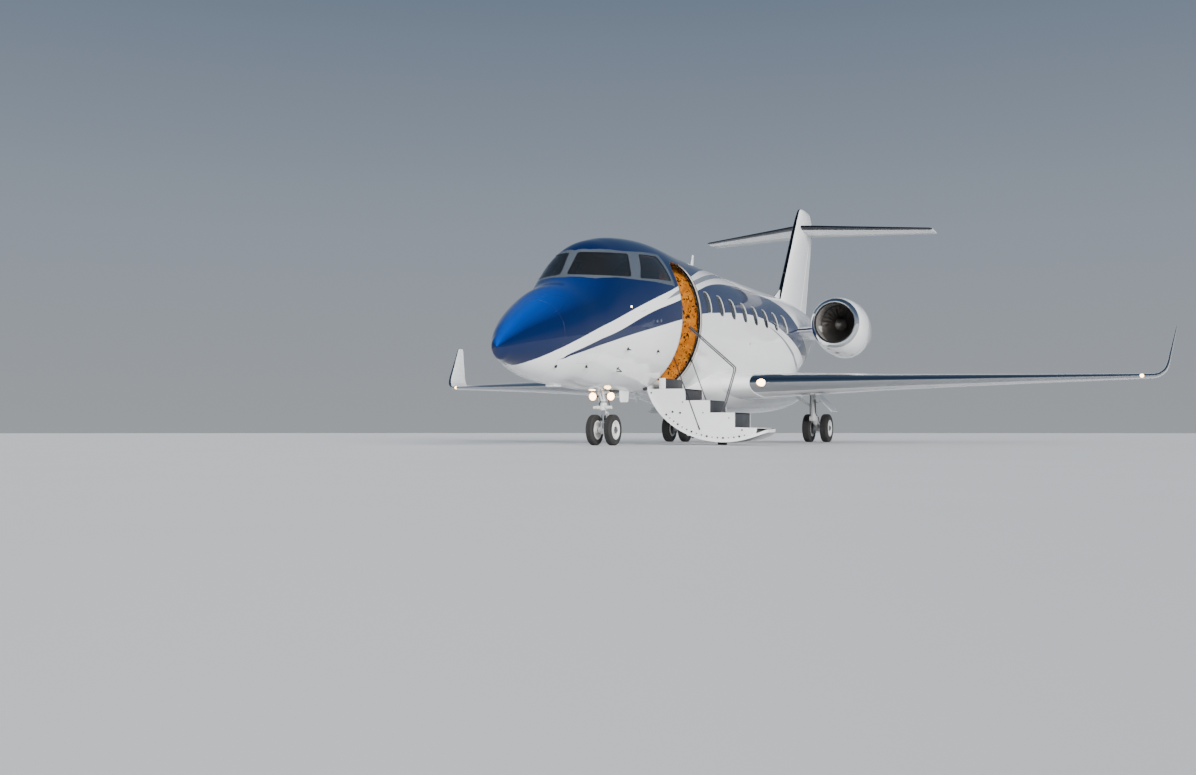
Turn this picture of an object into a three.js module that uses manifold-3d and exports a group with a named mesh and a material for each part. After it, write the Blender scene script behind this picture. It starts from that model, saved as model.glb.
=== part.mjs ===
// A twin-engined business jet, parked on its gear with the airstair open.
// Millimetres, +Z up, nose towards -Y, port side towards +X, origin under the middle on the ground.
// Stations are distances aft of a datum plane just ahead of the nose tip.
import * as THREE from "three";
import { mergeVertices } from "three/addons/utils/BufferGeometryUtils.js";
import Module from "manifold-3d";

const wasm = await Module();
wasm.setup();

// Driving dimensions
const LENGTH = 20150;
const NOSE_AT = 150;
const GAP = 0.3;
const PIN_GAP = 0.5;
const RUNNING_GAP = 6;
const RING_POINTS = 24;
const PORT = 1;
const STARBOARD = -1;
const SIDES = [
  { name: "port", s: PORT },
  { name: "starboard", s: STARBOARD },
];
const Y = (station) => station - NOSE_AT - LENGTH / 2;
const AFT = NOSE_AT + LENGTH;

// Fuselage: outer section at each station, an ellipse quarter above and below its widest height
const HULL = [
  { at: NOSE_AT, top: 1560, bottom: 1530, widest: 1545, half: 20 },
  { at: 200, top: 1671, bottom: 1393, widest: 1562, half: 117 },
  { at: 330, top: 1789, bottom: 1342, widest: 1598, half: 197 },
  { at: 600, top: 2012, bottom: 1272, widest: 1668, half: 348 },
  { at: 1100, top: 2308, bottom: 1146, widest: 1782, half: 573 },
  { at: 1700, top: 2613, bottom: 1051, widest: 1900, half: 742 },
  { at: 2360, top: 2870, bottom: 1026, widest: 2035, half: 830 },
  { at: 2980, top: 3475, bottom: 985, widest: 2170, half: 915 },
  { at: 3600, top: 3704, bottom: 980, widest: 2290, half: 1015 },
  { at: 4400, top: 3838, bottom: 980, widest: 2380, half: 1120 },
  { at: 5300, top: 3888, bottom: 980, widest: 2420, half: 1172 },
  { at: 6500, top: 3830, bottom: 980, widest: 2420, half: 1180 },
  { at: 8500, top: 3780, bottom: 980, widest: 2400, half: 1180 },
  { at: 12500, top: 3740, bottom: 1000, widest: 2380, half: 1180 },
  { at: 13600, top: 3740, bottom: 1200, widest: 2450, half: 1150 },
  { at: 15000, top: 3710, bottom: 1680, widest: 2620, half: 1000 },
  { at: 16500, top: 3610, bottom: 2240, widest: 2850, half: 720 },
  { at: 17800, top: 3470, bottom: 2700, widest: 3030, half: 420 },
  { at: 18700, top: 3310, bottom: 2980, widest: 3120, half: 160 },
];
const HULL_STEP = 620;
const WALL = 70;
const RADOME_JOINT = 1250;
const CABIN_JOINT = 6300;
const TAIL_JOINT = 13350;
const COCKPIT_FRONT = 2330;
const CABIN_BACK = 13000;
const TAIL_BAY = { from: 13500, to: 18200, wall: 30 };
const EXHAUST = { radius: 75, z: 3130 };
const FLOOR_TOP = 1640;
const FLOOR_THICK = 60;

// Doorway and airstair: the section is closed on the fuselage and turned open about the hinge
const DOOR = {
  from: 5100,
  to: 6100,
  hinge: [420, 1060],
  top: 3470,
  sill: 290,
  skin: 45,
  openDeg: 100.2,
};
const ENTRY = { from: 5060, to: 6180, floor: 1250 };
const DOOR_GAP = 6;
const DOOR_HINGE = { radius: 36, lug: 40, reach: 60 };
const PLATE = { thick: 25, inset: 25 };
const STEPS = [
  { from: 460, to: 1200, top: 1050 },
  { from: 1200, to: 1680, top: 830 },
  { from: 1680, to: 2160, top: 600 },
];
const STEP_END = { x: 2740, top: 330 };
const TREAD = 30;
const STAY = { top: [962, 1600], foot: [1400, 300], radius: 8 };
const RAIL = { top: [1000, 2030], elbow: [2110, 1310], foot: [1880, 570], radius: 16, at: 5190 };
const STAIR_FOOT = { x: 1760, width: 160, depth: 90, bottom: 8, top: 100 };

// Cockpit glass: corners on the skin as [x, station, z], port side
const WINDSHIELD = [
  [65, 2440, 2930],
  [852, 3408, 2958],
  [649, 3713, 3413],
  [75, 2870, 3365],
];
const SIDE_WINDOW = [
  [910, 3674, 2958],
  [1044, 4832, 3028],
  [771, 4754, 3488],
  [707, 4066, 3444],
];
const PANE_THICK = 25;
const PANE_RADIUS = 60;

// Cabin windows
const CABIN_WINDOW = { first: 6600, pitch: 780, count: 8, z: 2800, width: 340, height: 440 };
const GLAZING_BELT = { thick: 22, below: 2740, above: 2860, recess: 14 };

// Wing: the leading edge, chord, height and thickness ratio at each span station, cant of the section
const WING = [
  { x: 900, lead: 7570, chord: 5200, z: 1240, ratio: 0.115, cant: 0 },
  { x: 1300, lead: 7870, chord: 4880, z: 1253, ratio: 0.115, cant: 0 },
  { x: 3900, lead: 9800, chord: 3110, z: 1336, ratio: 0.11, cant: 0 },
  { x: 6500, lead: 11730, chord: 2110, z: 1419, ratio: 0.1, cant: 0 },
  { x: 9020, lead: 13600, chord: 1150, z: 1500, ratio: 0.1, cant: 3 },
  { x: 9190, lead: 13750, chord: 1060, z: 1528, ratio: 0.095, cant: 22 },
  { x: 9330, lead: 13900, chord: 960, z: 1635, ratio: 0.09, cant: 52 },
  { x: 9400, lead: 14050, chord: 850, z: 1800, ratio: 0.085, cant: 74 },
  { x: 9592, lead: 14830, chord: 270, z: 2680, ratio: 0.08, cant: 82 },
];
const AIRFOIL_CHORDS = [0, 0.012, 0.06, 0.17, 0.36, 0.62, 0.82, 1];
const TRAIL_HALF = 4;

// Movable surfaces: the hinge line from root to tip as [span, station]. The ends are cut square to
// it, but level on the upright rudder, whose wider end gap leaves room for its rise as it turns.
const FLAP = { hinge: [[2350, 12120], [5950, 12900]] };
const AILERON = { hinge: [[6150, 13010], [8650, 14180]] };
const ELEVATOR = { hinge: [[260, 18760], [3260, 19960]] };
const RUDDER = { hinge: [[3600, 17311], [5900, 18500]], upright: true, endGap: 28 };
const NOSE_CLEARANCE = 1.08;
const COVE_MARGIN = 120;
const PIVOT = { depth: 60, radius: 14, tip: 0.6 };
const BEYOND = 2500;

// Fin and tailplane
const FIN = [
  { z: 3250, lead: 14780, chord: 3270, ratio: 0.085 },
  { z: 3820, lead: 15380, chord: 2820, ratio: 0.095 },
  { z: 5980, lead: 16960, chord: 1920, ratio: 0.11 },
  { z: 6280, lead: 17210, chord: 1640, ratio: 0.11 },
  { z: 6500, lead: 17430, chord: 1260, ratio: 0.11 },
  { z: 6585, lead: 17700, chord: 760, ratio: 0.08 },
];
const STRAKE = { from: 14300, to: 15900, top: 4020, half: 60 };
const TAILPLANE = [
  { x: 0, lead: 17240, chord: 2020, z: 6008, ratio: 0.1 },
  { x: 3380, lead: 19260, chord: 1040, z: 6040, ratio: 0.09 },
];

// Engines: rows run aft from the lip, and aft of the bend the axis leans inboard and down
const ENGINE = { x: 2080, z: 2890, lip: 13000, bendAt: 850, toeIn: 0.055, droop: 0.047 };
const NACELLE = [
  { at: 0, top: 515, bottom: 515, half: 515 },
  { at: 25, top: 560, bottom: 562, half: 560 },
  { at: 130, top: 605, bottom: 622, half: 602 },
  { at: 420, top: 645, bottom: 725, half: 642 },
  { at: 850, top: 645, bottom: 790, half: 652 },
  { at: 1300, top: 610, bottom: 780, half: 625 },
  { at: 1750, top: 560, bottom: 705, half: 575 },
  { at: 2300, top: 485, bottom: 560, half: 500 },
  { at: 2850, top: 412, bottom: 420, half: 415 },
];
const DUCT = [
  { at: -20, r: 515 },
  { at: 12, r: 495 },
  { at: 120, r: 470 },
  { at: 420, r: 488 },
  { at: 640, r: 506 },
  { at: 850, r: 506 },
  { at: 1300, r: 500 },
  { at: 2300, r: 435 },
  { at: 2880, r: 385 },
];
const FAN = { at: 720, radius: 488, blades: 16, hub: 150, thick: 12, shaft: 60 };
const CORE = [
  { at: 870, r: 150 },
  { at: 1050, r: 260 },
  { at: 2100, r: 290 },
  { at: 2750, r: 180 },
  { at: 3080, r: 20 },
];
const OUTLET_VANES = { count: 6, from: 1100, to: 1350, thick: 24, reach: 503 };
const NACELLE_SIDES = 20;
const PYLON = [
  { x: 560, lead: 12950, chord: 3300, z: 2690, ratio: 0.085 },
  { x: 1600, lead: 13250, chord: 2450, z: 2760, ratio: 0.1 },
];

// Nose gear
const NOSE_GEAR = { at: 4110, axleZ: 281, wheelX: 180, radius: 281, width: 140, rim: 165 };
const NOSE_BAY = { half: 220, from: 3780, to: 4800, roof: 1360 };
const NOSE_LEG = { radius: 62, bottom: 640, trunnionZ: 1150, braceAt: 3850, braceZ: 1180 };
const NOSE_DOOR = { bottom: 790, top: 1090, thick: 22, from: 4320, to: 4770 };
const LAMPS = [
  { x: -170, z: 880, radius: 75 },
  { x: 0, z: 745, radius: 62 },
  { x: 170, z: 880, radius: 75 },
];

// Main gear
const MAIN_GEAR = { x: 1790, at: 12510, axleZ: 333, wheelX: 211, radius: 333, width: 190, rim: 190 };
const MAIN_LEG = { at: 12130, kneeZ: 560, radius: 72 };

// Jacking pads: flat discs under the nose and the wing roots
const JACK_PAD = { radius: 50, side: 600, mainAt: 10300, mainZ: 690, noseAt: 2900, noseZ: 960, depth: 110 };

// Colours
const COLOUR = {
  white: [0xf1f2f3, 0.2, 0.1],
  blue: [0x17397a, 0.18, 0.2],
  glass: [0x1b232b, 0.08, 0.1],
  metal: [0xb9bcc0, 0.25, 0.9],
  grey: [0x8b9097, 0.45, 0.4],
  dark: [0x2a2d31, 0.5, 0.5],
  tyre: [0x17181a, 0.9, 0],
  wood: [0xb8661c, 0.3, 0],
  leather: [0xcdbb9f, 0.6, 0],
};

const group = new THREE.Group();

// Basic shapes

// A closed geometry as a solid, with its faces turned outwards.
function solid(geometry) {
  const bare = geometry.index ? geometry.clone() : geometry;
  bare.deleteAttribute("normal");
  bare.deleteAttribute("uv");
  const merged = mergeVertices(bare, 1e-3);
  const triVerts = new Uint32Array(merged.index.array);
  const vertProperties = new Float32Array(merged.attributes.position.array);
  const build = () => new wasm.Manifold(new wasm.Mesh({ numProp: 3, vertProperties, triVerts }));
  const made = build();
  if (made.volume() > 0) return made;
  for (let i = 0; i < triVerts.length; i += 3) {
    [triVerts[i + 1], triVerts[i + 2]] = [triVerts[i + 2], triVerts[i + 1]];
  }
  return build();
}

// Adds a solid to the group as one named mesh.
function piece(name, made, colour) {
  const mesh = made.getMesh();
  const stride = mesh.numProp;
  const points = new Float32Array(mesh.numVert * 3);
  for (let i = 0; i < mesh.numVert; i += 1) {
    points.set(mesh.vertProperties.subarray(i * stride, i * stride + 3), i * 3);
  }
  const geometry = new THREE.BufferGeometry();
  geometry.setAttribute("position", new THREE.BufferAttribute(points, 3));
  geometry.setIndex(new THREE.BufferAttribute(new Uint32Array(mesh.triVerts), 1));
  geometry.computeVertexNormals();
  const [color, roughness, metalness] = COLOUR[colour];
  const material = new THREE.MeshStandardMaterial({ color, roughness, metalness });
  const node = new THREE.Mesh(geometry, material);
  node.name = name;
  group.add(node);
  return made;
}

// A closed loft through rings of equally many points.
function loft(rings) {
  const count = rings[0].length;
  const points = rings.flat();
  const index = [];
  for (let r = 0; r + 1 < rings.length; r += 1) {
    for (let i = 0; i < count; i += 1) {
      const a = r * count + i;
      const b = r * count + ((i + 1) % count);
      if (i < count / 2) index.push(a, b, b + count, a, b + count, a + count);
      else index.push(a, b, a + count, b, b + count, a + count);
    }
  }
  const capped = (ring, offset, turned) => {
    const normal = ringNormal(ring);
    const side = new THREE.Vector3(0, 0, 1).cross(normal);
    if (side.length() < 0.1) side.set(1, 0, 0);
    side.normalize();
    const up = normal.clone().cross(side);
    const flat = ring.map((p) => new THREE.Vector2(p.dot(side), p.dot(up)));
    for (const [a, b, c] of THREE.ShapeUtils.triangulateShape(flat, [])) {
      if (turned) index.push(offset + a, offset + b, offset + c);
      else index.push(offset + a, offset + c, offset + b);
    }
  };
  capped(rings[0], 0, false);
  capped(rings[rings.length - 1], (rings.length - 1) * count, true);
  const geometry = new THREE.BufferGeometry().setFromPoints(points);
  geometry.setIndex(index);
  return solid(geometry);
}

// The normal of a flat ring, by the area method.
function ringNormal(ring) {
  const normal = new THREE.Vector3();
  const edge = new THREE.Vector3();
  ring.forEach((p, i) => normal.add(edge.crossVectors(p, ring[(i + 1) % ring.length])));
  return normal.normalize();
}

// A box between two corners, given as [x, station, z].
function block(low, high) {
  const size = high.map((value, i) => value - low[i]);
  const geometry = new THREE.BoxGeometry(...size);
  const middle = high.map((value, i) => (value + low[i]) / 2);
  geometry.translate(middle[0], Y(middle[1]), middle[2]);
  return solid(geometry);
}

// A round bar or cone between two points, given as [x, station, z].
function bar(from, to, radius, endRadius = radius, segments = 10) {
  const a = new THREE.Vector3(from[0], Y(from[1]), from[2]);
  const b = new THREE.Vector3(to[0], Y(to[1]), to[2]);
  const along = b.clone().sub(a);
  const geometry = new THREE.CylinderGeometry(endRadius, radius, along.length(), segments);
  const turn = new THREE.Quaternion().setFromUnitVectors(
    new THREE.Vector3(0, 1, 0),
    along.clone().normalize(),
  );
  geometry.applyQuaternion(turn);
  const middle = a.add(b).multiplyScalar(0.5);
  geometry.translate(middle.x, middle.y, middle.z);
  return solid(geometry);
}

// An outline of [x, z] points with a thickness along Y from one station to another.
function plate(outline, from, to) {
  const ring = (station) => outline.map(([x, z]) => new THREE.Vector3(x, Y(station), z));
  return loft([ring(from), ring(to)]);
}

// A turned body about an axis parallel to Y: profile rows of { at, r } from a station.
function turnedAlongY(rows, station, x, z, segments = 24) {
  const profile = rows.map((row) => new THREE.Vector2(row.r, row.at));
  const geometry = new THREE.LatheGeometry(profile, segments);
  geometry.translate(0, Y(station), 0);
  geometry.translate(x, 0, z);
  return solid(geometry);
}

// A turned body about an axis parallel to X: profile rows of [x, radius].
function turnedAlongX(rows, station, z, segments = 24, phase = 0) {
  const profile = rows.map(([x, r]) => new THREE.Vector2(r, x));
  const geometry = new THREE.LatheGeometry(profile, segments);
  geometry.rotateZ(-Math.PI / 2);
  geometry.rotateX(phase);
  geometry.translate(0, Y(station), z);
  return solid(geometry);
}

const mirrored = (made) => made.mirror([1, 0, 0]);
const sided = (made, s) => (s === PORT ? made : mirrored(made));
const joined = (parts) => parts.reduce((whole, next) => whole.add(next));

// Fuselage

// The section at a station, smoothly between the rows of the table.
function hullAt(station) {
  const last = HULL.length - 1;
  let i = HULL.findIndex((row) => row.at > station) - 1;
  if (i < 0) i = station <= HULL[0].at ? 0 : last - 1;
  const a = HULL[i];
  const b = HULL[i + 1];
  const span = b.at - a.at;
  const t = THREE.MathUtils.clamp((station - a.at) / span, 0, 1);
  const slope = (k, key) => {
    const from = HULL[Math.max(k - 1, 0)];
    const to = HULL[Math.min(k + 1, last)];
    return (to[key] - from[key]) / (to.at - from.at);
  };
  const value = (key) => {
    const t2 = t * t;
    const t3 = t2 * t;
    const start = (2 * t3 - 3 * t2 + 1) * a[key] + (t3 - 2 * t2 + t) * span * slope(i, key);
    return start + (3 * t2 - 2 * t3) * b[key] + (t3 - t2) * span * slope(i + 1, key);
  };
  return { top: value("top"), bottom: value("bottom"), widest: value("widest"), half: value("half") };
}

// A closed ring: an ellipse quarter above and below its widest height.
function ellipseRing(x, station, section, inset = 0, points = RING_POINTS) {
  const ring = [];
  for (let i = 0; i < points; i += 1) {
    const angle = (i / points) * 2 * Math.PI;
    const rise = Math.cos(angle);
    const reach = rise > 0 ? section.top - section.widest : section.widest - section.bottom;
    const z = section.widest + (reach - inset) * rise;
    ring.push(new THREE.Vector3(x + (section.half - inset) * Math.sin(angle), Y(station), z));
  }
  return ring;
}

function hullStations(from, to) {
  const marks = [from, ...HULL.map((row) => row.at).filter((at) => at > from && at < to), to];
  const out = [from];
  for (let i = 0; i + 1 < marks.length; i += 1) {
    const parts = Math.max(1, Math.round((marks[i + 1] - marks[i]) / HULL_STEP));
    const capped = marks[i] >= 6000 && marks[i + 1] <= 12600 ? 1 : parts;
    for (let k = 1; k <= capped; k += 1) out.push(marks[i] + ((marks[i + 1] - marks[i]) * k) / capped);
  }
  return out;
}

function hull(inset, from = HULL[0].at, to = HULL[HULL.length - 1].at) {
  return loft(hullStations(from, to).map((at) => ellipseRing(0, at, hullAt(at), inset)));
}

const slab = (from, to, low = -1000, high = 8000) => block([-12000, from, low], [12000, to, high]);

// A prism through an outline of [x, station, z] corners, along a direction both ways.
function prism(corners, direction, reach) {
  const along = new THREE.Vector3(...direction).normalize().multiplyScalar(reach);
  const ring = corners.map(([x, at, z]) => new THREE.Vector3(x, Y(at), z));
  return loft([ring.map((p) => p.clone().sub(along)), ring.map((p) => p.clone().add(along))]);
}

// The outline with its corners cut back and its edges moved inwards.
function paneOutline(corners, inset) {
  const points = corners.map((p) => new THREE.Vector3(...p));
  const centre = points.reduce((sum, p) => sum.add(p), new THREE.Vector3()).divideScalar(points.length);
  return points.flatMap((p, i) => {
    const before = points[(i + points.length - 1) % points.length];
    const after = points[(i + 1) % points.length];
    return [before, after].map((other) => {
      const cut = p.clone().add(other.clone().sub(p).setLength(PANE_RADIUS));
      const inward = centre.clone().sub(cut).setLength(inset);
      return cut.add(inward).toArray();
    });
  });
}

const outerHull = hull(0);
const cutHull = hull(-GAP);
const wallHull = (inset) => hull(inset, COCKPIT_FRONT, CABIN_BACK);
const cavity = wallHull(WALL);
const skinInner = hull(PANE_THICK);

// Doorway
function doorOutline(clear) {
  const [from, to, top] = [DOOR.from + clear, DOOR.to - clear, DOOR.top - clear];
  const low = DOOR.hinge[1] + clear;
  const round = 220;
  const outline = [[from, low], [to, low]];
  for (let k = 0; k <= 4; k += 1) {
    const angle = (k / 4) * (Math.PI / 2);
    outline.push([to - round + round * Math.cos(angle), top - round + round * Math.sin(angle)]);
  }
  for (let k = 4; k >= 0; k -= 1) {
    const angle = (k / 4) * (Math.PI / 2);
    outline.push([from + round - round * Math.cos(angle), top - round + round * Math.sin(angle)]);
  }
  return outline;
}

function doorPrism(clear, inner = DOOR.sill + clear) {
  const ring = (x) => doorOutline(clear).map(([at, z]) => new THREE.Vector3(x, Y(at), z));
  return loft([ring(inner), ring(2000)]);
}

// Turns what is drawn closed on the fuselage to its open place about the hinge line.
function opened(made) {
  const [x, z] = DOOR.hinge;
  return made.translate([-x, 0, -z]).rotate([0, DOOR.openDeg, 0]).translate([x, 0, z]);
}

const doorHole = doorPrism(0);
const entryHole = cavity.intersect(slab(ENTRY.from, ENTRY.to, ENTRY.floor));
const noseBay = block(
  [-NOSE_BAY.half, NOSE_BAY.from, 0],
  [NOSE_BAY.half, NOSE_BAY.to, NOSE_BAY.roof],
);

const WINDSHIELD_AIM = [0.45, -0.75, 0.5];
const SIDE_WINDOW_AIM = [0.88, -0.15, 0.45];
const cockpitCut = (corners, aim, inset) => prism(paneOutline(corners, inset), aim, 320);

function ovalWindow(index, grow) {
  const at = CABIN_WINDOW.first + CABIN_WINDOW.pitch * index;
  const outline = [];
  for (let k = 0; k < 8; k += 1) {
    const angle = ((k + 0.5) / 8) * 2 * Math.PI;
    const square = (value) => Math.sign(value) * Math.abs(value) ** 0.6;
    outline.push([
      700,
      at + (CABIN_WINDOW.width / 2 + grow) * square(Math.cos(angle)),
      CABIN_WINDOW.z + (CABIN_WINDOW.height / 2 + grow) * square(Math.sin(angle)),
    ]);
  }
  const ring = (x) => outline.map(([, station, z]) => new THREE.Vector3(x, Y(station), z));
  return loft([ring(800), ring(1500)]);
}

const windowNumbers = [...Array(CABIN_WINDOW.count).keys()];
const windowHoles = joined(windowNumbers.map((index) => ovalWindow(index, 0)));
const paneShell = outerHull.subtract(skinInner);
let shell = outerHull.subtract(cavity.intersect(slab(0, AFT, FLOOR_TOP)));
shell = shell.subtract(entryHole).subtract(doorHole).subtract(noseBay);
shell = shell.subtract(cavity.intersect(slab(CABIN_JOINT, AFT)));
const hingeBar = (from, to, radius) =>
  bar([DOOR.hinge[0], from, DOOR.hinge[1]], [DOOR.hinge[0], to, DOOR.hinge[1]], radius, radius, 12);
shell = joined([
  shell.subtract(hingeBar(DOOR.from, DOOR.to, DOOR_HINGE.radius + RUNNING_GAP)),
  hingeBar(DOOR.from - DOOR_HINGE.reach, DOOR.from, DOOR_HINGE.lug),
  hingeBar(DOOR.to, DOOR.to + DOOR_HINGE.reach, DOOR_HINGE.lug),
]);
const tailBay = hull(TAIL_BAY.wall, TAIL_BAY.from, TAIL_BAY.to);
shell = shell.subtract(tailBay);
shell = shell.subtract(bar([0, 18100, EXHAUST.z], [0, 18800, EXHAUST.z], EXHAUST.radius, EXHAUST.radius, 20));
for (const { s } of SIDES) {
  shell = shell.subtract(sided(cockpitCut(WINDSHIELD, WINDSHIELD_AIM, 0), s));
  shell = shell.subtract(sided(cockpitCut(SIDE_WINDOW, SIDE_WINDOW_AIM, 0), s));
  shell = shell.subtract(sided(windowHoles, s));
}

piece("radome", shell.intersect(slab(-10, RADOME_JOINT - GAP)), "blue");
const jackPad = (x, station, z) =>
  bar([x, station, z], [x, station, z + JACK_PAD.depth], JACK_PAD.radius, JACK_PAD.radius, 12);
const nosePad = jackPad(0, JACK_PAD.noseAt, JACK_PAD.noseZ);
const forward = shell.intersect(slab(RADOME_JOINT, CABIN_JOINT - GAP)).add(nosePad);
piece("forward_fuselage", forward, "white");
piece("cabin_fuselage", shell.intersect(slab(CABIN_JOINT, TAIL_JOINT - GAP)), "white");
piece("tail_fuselage", shell.intersect(slab(TAIL_JOINT, AFT)), "white");

const PANE_GAP = 2;
for (const { name, s } of SIDES) {
  const windshield = paneShell.intersect(cockpitCut(WINDSHIELD, WINDSHIELD_AIM, PANE_GAP));
  piece(`windshield_${name}`, sided(windshield, s), "glass");
  const sideWindow = paneShell.intersect(cockpitCut(SIDE_WINDOW, SIDE_WINDOW_AIM, PANE_GAP));
  piece(`side_window_${name}`, sided(sideWindow, s), "glass");
}

// Cabin glazing: a belt inside the wall carries the panes that fill the window openings
const beltRange = slab(
  CABIN_JOINT + 40,
  CABIN_WINDOW.first + CABIN_WINDOW.pitch * (CABIN_WINDOW.count - 1) + 260,
  GLAZING_BELT.below,
  GLAZING_BELT.above,
).intersect(block([0, 0, 0], [2000, AFT, 8000]));
const beltInner = wallHull(WALL + GAP + GLAZING_BELT.thick);
const beltShell = wallHull(WALL + GAP).subtract(beltInner);
const glassShell = wallHull(GLAZING_BELT.recess).subtract(beltInner);
const panes = joined(windowNumbers.map((index) => ovalWindow(index, -PANE_GAP))).intersect(glassShell);
const belt = beltShell.intersect(beltRange).add(panes);
for (const { name, s } of SIDES) piece(`cabin_windows_${name}`, sided(belt, s), "glass");

// Interior
const inside = wallHull(WALL + GAP);
const cabinFloorSlab = inside.intersect(
  slab(CABIN_JOINT + 60, CABIN_BACK - 20, FLOOR_TOP - FLOOR_THICK, FLOOR_TOP),
);
const SEAT = { width: 520, depth: 560, base: 260, cushion: 180, back: 1150, backThick: 190 };

// A seat whose back is towards a station direction: +1 faces forward, -1 faces aft.
function seat(x, station, floor, facing, size = SEAT) {
  const half = size.width / 2;
  const front = station - (facing * size.depth) / 2;
  const rear = station + (facing * size.depth) / 2;
  const [low, high] = [Math.min(front, rear), Math.max(front, rear)];
  const cushionTop = floor + size.base + size.cushion;
  const backFrom = facing > 0 ? high - size.backThick : low;
  return joined([
    block([x - half + 90, low + 90, floor - 1], [x + half - 90, high - 90, floor + size.base + 5]),
    block([x - half, low, floor + size.base], [x + half, high, cushionTop]),
    block([x - half, backFrom, floor + size.base], [x + half, backFrom + size.backThick, floor + size.back]),
  ]);
}

const CABIN_SEAT_X = 640;
const CABIN_SEATS = [
  { at: 7150, facing: -1 },
  { at: 8700, facing: 1 },
  { at: 10100, facing: 1 },
  { at: 11600, facing: 1 },
];
const SEAT_FLOOR = FLOOR_TOP + 20;
const SEAT_TRACK = { half: 130, from: 6950, to: 11800 };
piece("cabin_floor", cabinFloorSlab, "leather");

// Each side's seats stand on one floor track.
for (const { name, s } of SIDES) {
  const seats = CABIN_SEATS.map((row) => seat(CABIN_SEAT_X, row.at, SEAT_FLOOR, row.facing));
  const track = block(
    [CABIN_SEAT_X - SEAT_TRACK.half, SEAT_TRACK.from, FLOOR_TOP + GAP],
    [CABIN_SEAT_X + SEAT_TRACK.half, SEAT_TRACK.to, SEAT_FLOOR + 2],
  );
  piece(`cabin_seats_${name}`, sided(joined([track, ...seats]), s), "leather");
}

const bulkhead = inside
  .intersect(slab(ENTRY.to - 40, ENTRY.to - GAP, ENTRY.floor + GAP))
  .subtract(block([-280, ENTRY.to - 60, FLOOR_TOP - 20], [280, ENTRY.to + 20, 3420]));
piece("entry_bulkhead", bulkhead, "wood");

const PANEL = { from: 2980, to: 3330, half: 900, bottom: 2350, top: 2890 };
const instrumentPanel = block([-PANEL.half, PANEL.from + 200, PANEL.bottom], [PANEL.half, PANEL.to, PANEL.top])
  .add(block([-PANEL.half, PANEL.from - 340, PANEL.top - 80], [PANEL.half, PANEL.to + 60, PANEL.top]))
  .add(block([-150, PANEL.to - 60, FLOOR_TOP + GAP], [150, PANEL.to + 700, 2230]))
  .add(block([-150, PANEL.to - 60, 2200], [150, PANEL.to, 2500]))
  .intersect(inside);
piece("instrument_panel", instrumentPanel, "dark");

const pilotSeats = joined([
  seat(430, 4450, SEAT_FLOOR, 1),
  seat(-430, 4450, SEAT_FLOOR, 1),
  block([-660, 4250, FLOOR_TOP + GAP], [660, 4650, FLOOR_TOP + 22]),
]);
piece("pilot_seats", pilotSeats, "leather");

// Wings and tail surfaces

// Half thickness of a section at a fraction of its chord, for a thickness ratio of one.
function halfThickness(c) {
  const shape = 0.2969 * Math.sqrt(c) - 0.126 * c - 0.3516 * c ** 2 + 0.2843 * c ** 3 - 0.1036 * c ** 4;
  return 5 * shape;
}

// The ring of one section: across is where thickness points, as a unit vector.
function sectionRing(origin, chord, ratio, across, grow) {
  const at = (c, side) => {
    const half = Math.max(halfThickness(c) * ratio * chord, TRAIL_HALF) + grow;
    const point = origin.clone().add(new THREE.Vector3(0, c * chord, 0));
    return point.add(across.clone().multiplyScalar(side * half));
  };
  const upper = AIRFOIL_CHORDS.map((c) => at(c, 1));
  const lower = AIRFOIL_CHORDS.slice().reverse().map((c) => at(c, -1));
  return [...upper, ...lower];
}

function liftingSurface(rows, grow = 0) {
  return loft(
    rows.map((row) => {
      const cant = THREE.MathUtils.degToRad(row.cant ?? 0);
      const across = new THREE.Vector3(-Math.sin(cant), 0, Math.cos(cant));
      const origin = new THREE.Vector3(row.x, Y(row.lead) - grow, row.z);
      return sectionRing(origin, row.chord + 2 * grow, row.ratio, across, grow);
    }),
  );
}

function finSurface(rows, grow = 0) {
  return loft(
    rows.map((row) => {
      const origin = new THREE.Vector3(0, Y(row.lead) - grow, row.z);
      return sectionRing(origin, row.chord + 2 * grow, row.ratio, new THREE.Vector3(1, 0, 0), grow);
    }),
  );
}

// Height and half thickness of a lifting surface at a span and station.
function surfaceAt(rows, span, station, key) {
  const i = Math.max(0, rows.findIndex((row) => row[key] > span) - 1);
  const [a, b] = [rows[i], rows[i + 1]];
  const t = (span - a[key]) / (b[key] - a[key]);
  const mix = (name) => a[name] + (b[name] - a[name]) * t;
  const chord = mix("chord");
  const c = (station - mix("lead")) / chord;
  const z = a.x === undefined ? span : mix("z");
  return { z, half: halfThickness(c) * mix("ratio") * chord };
}

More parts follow.
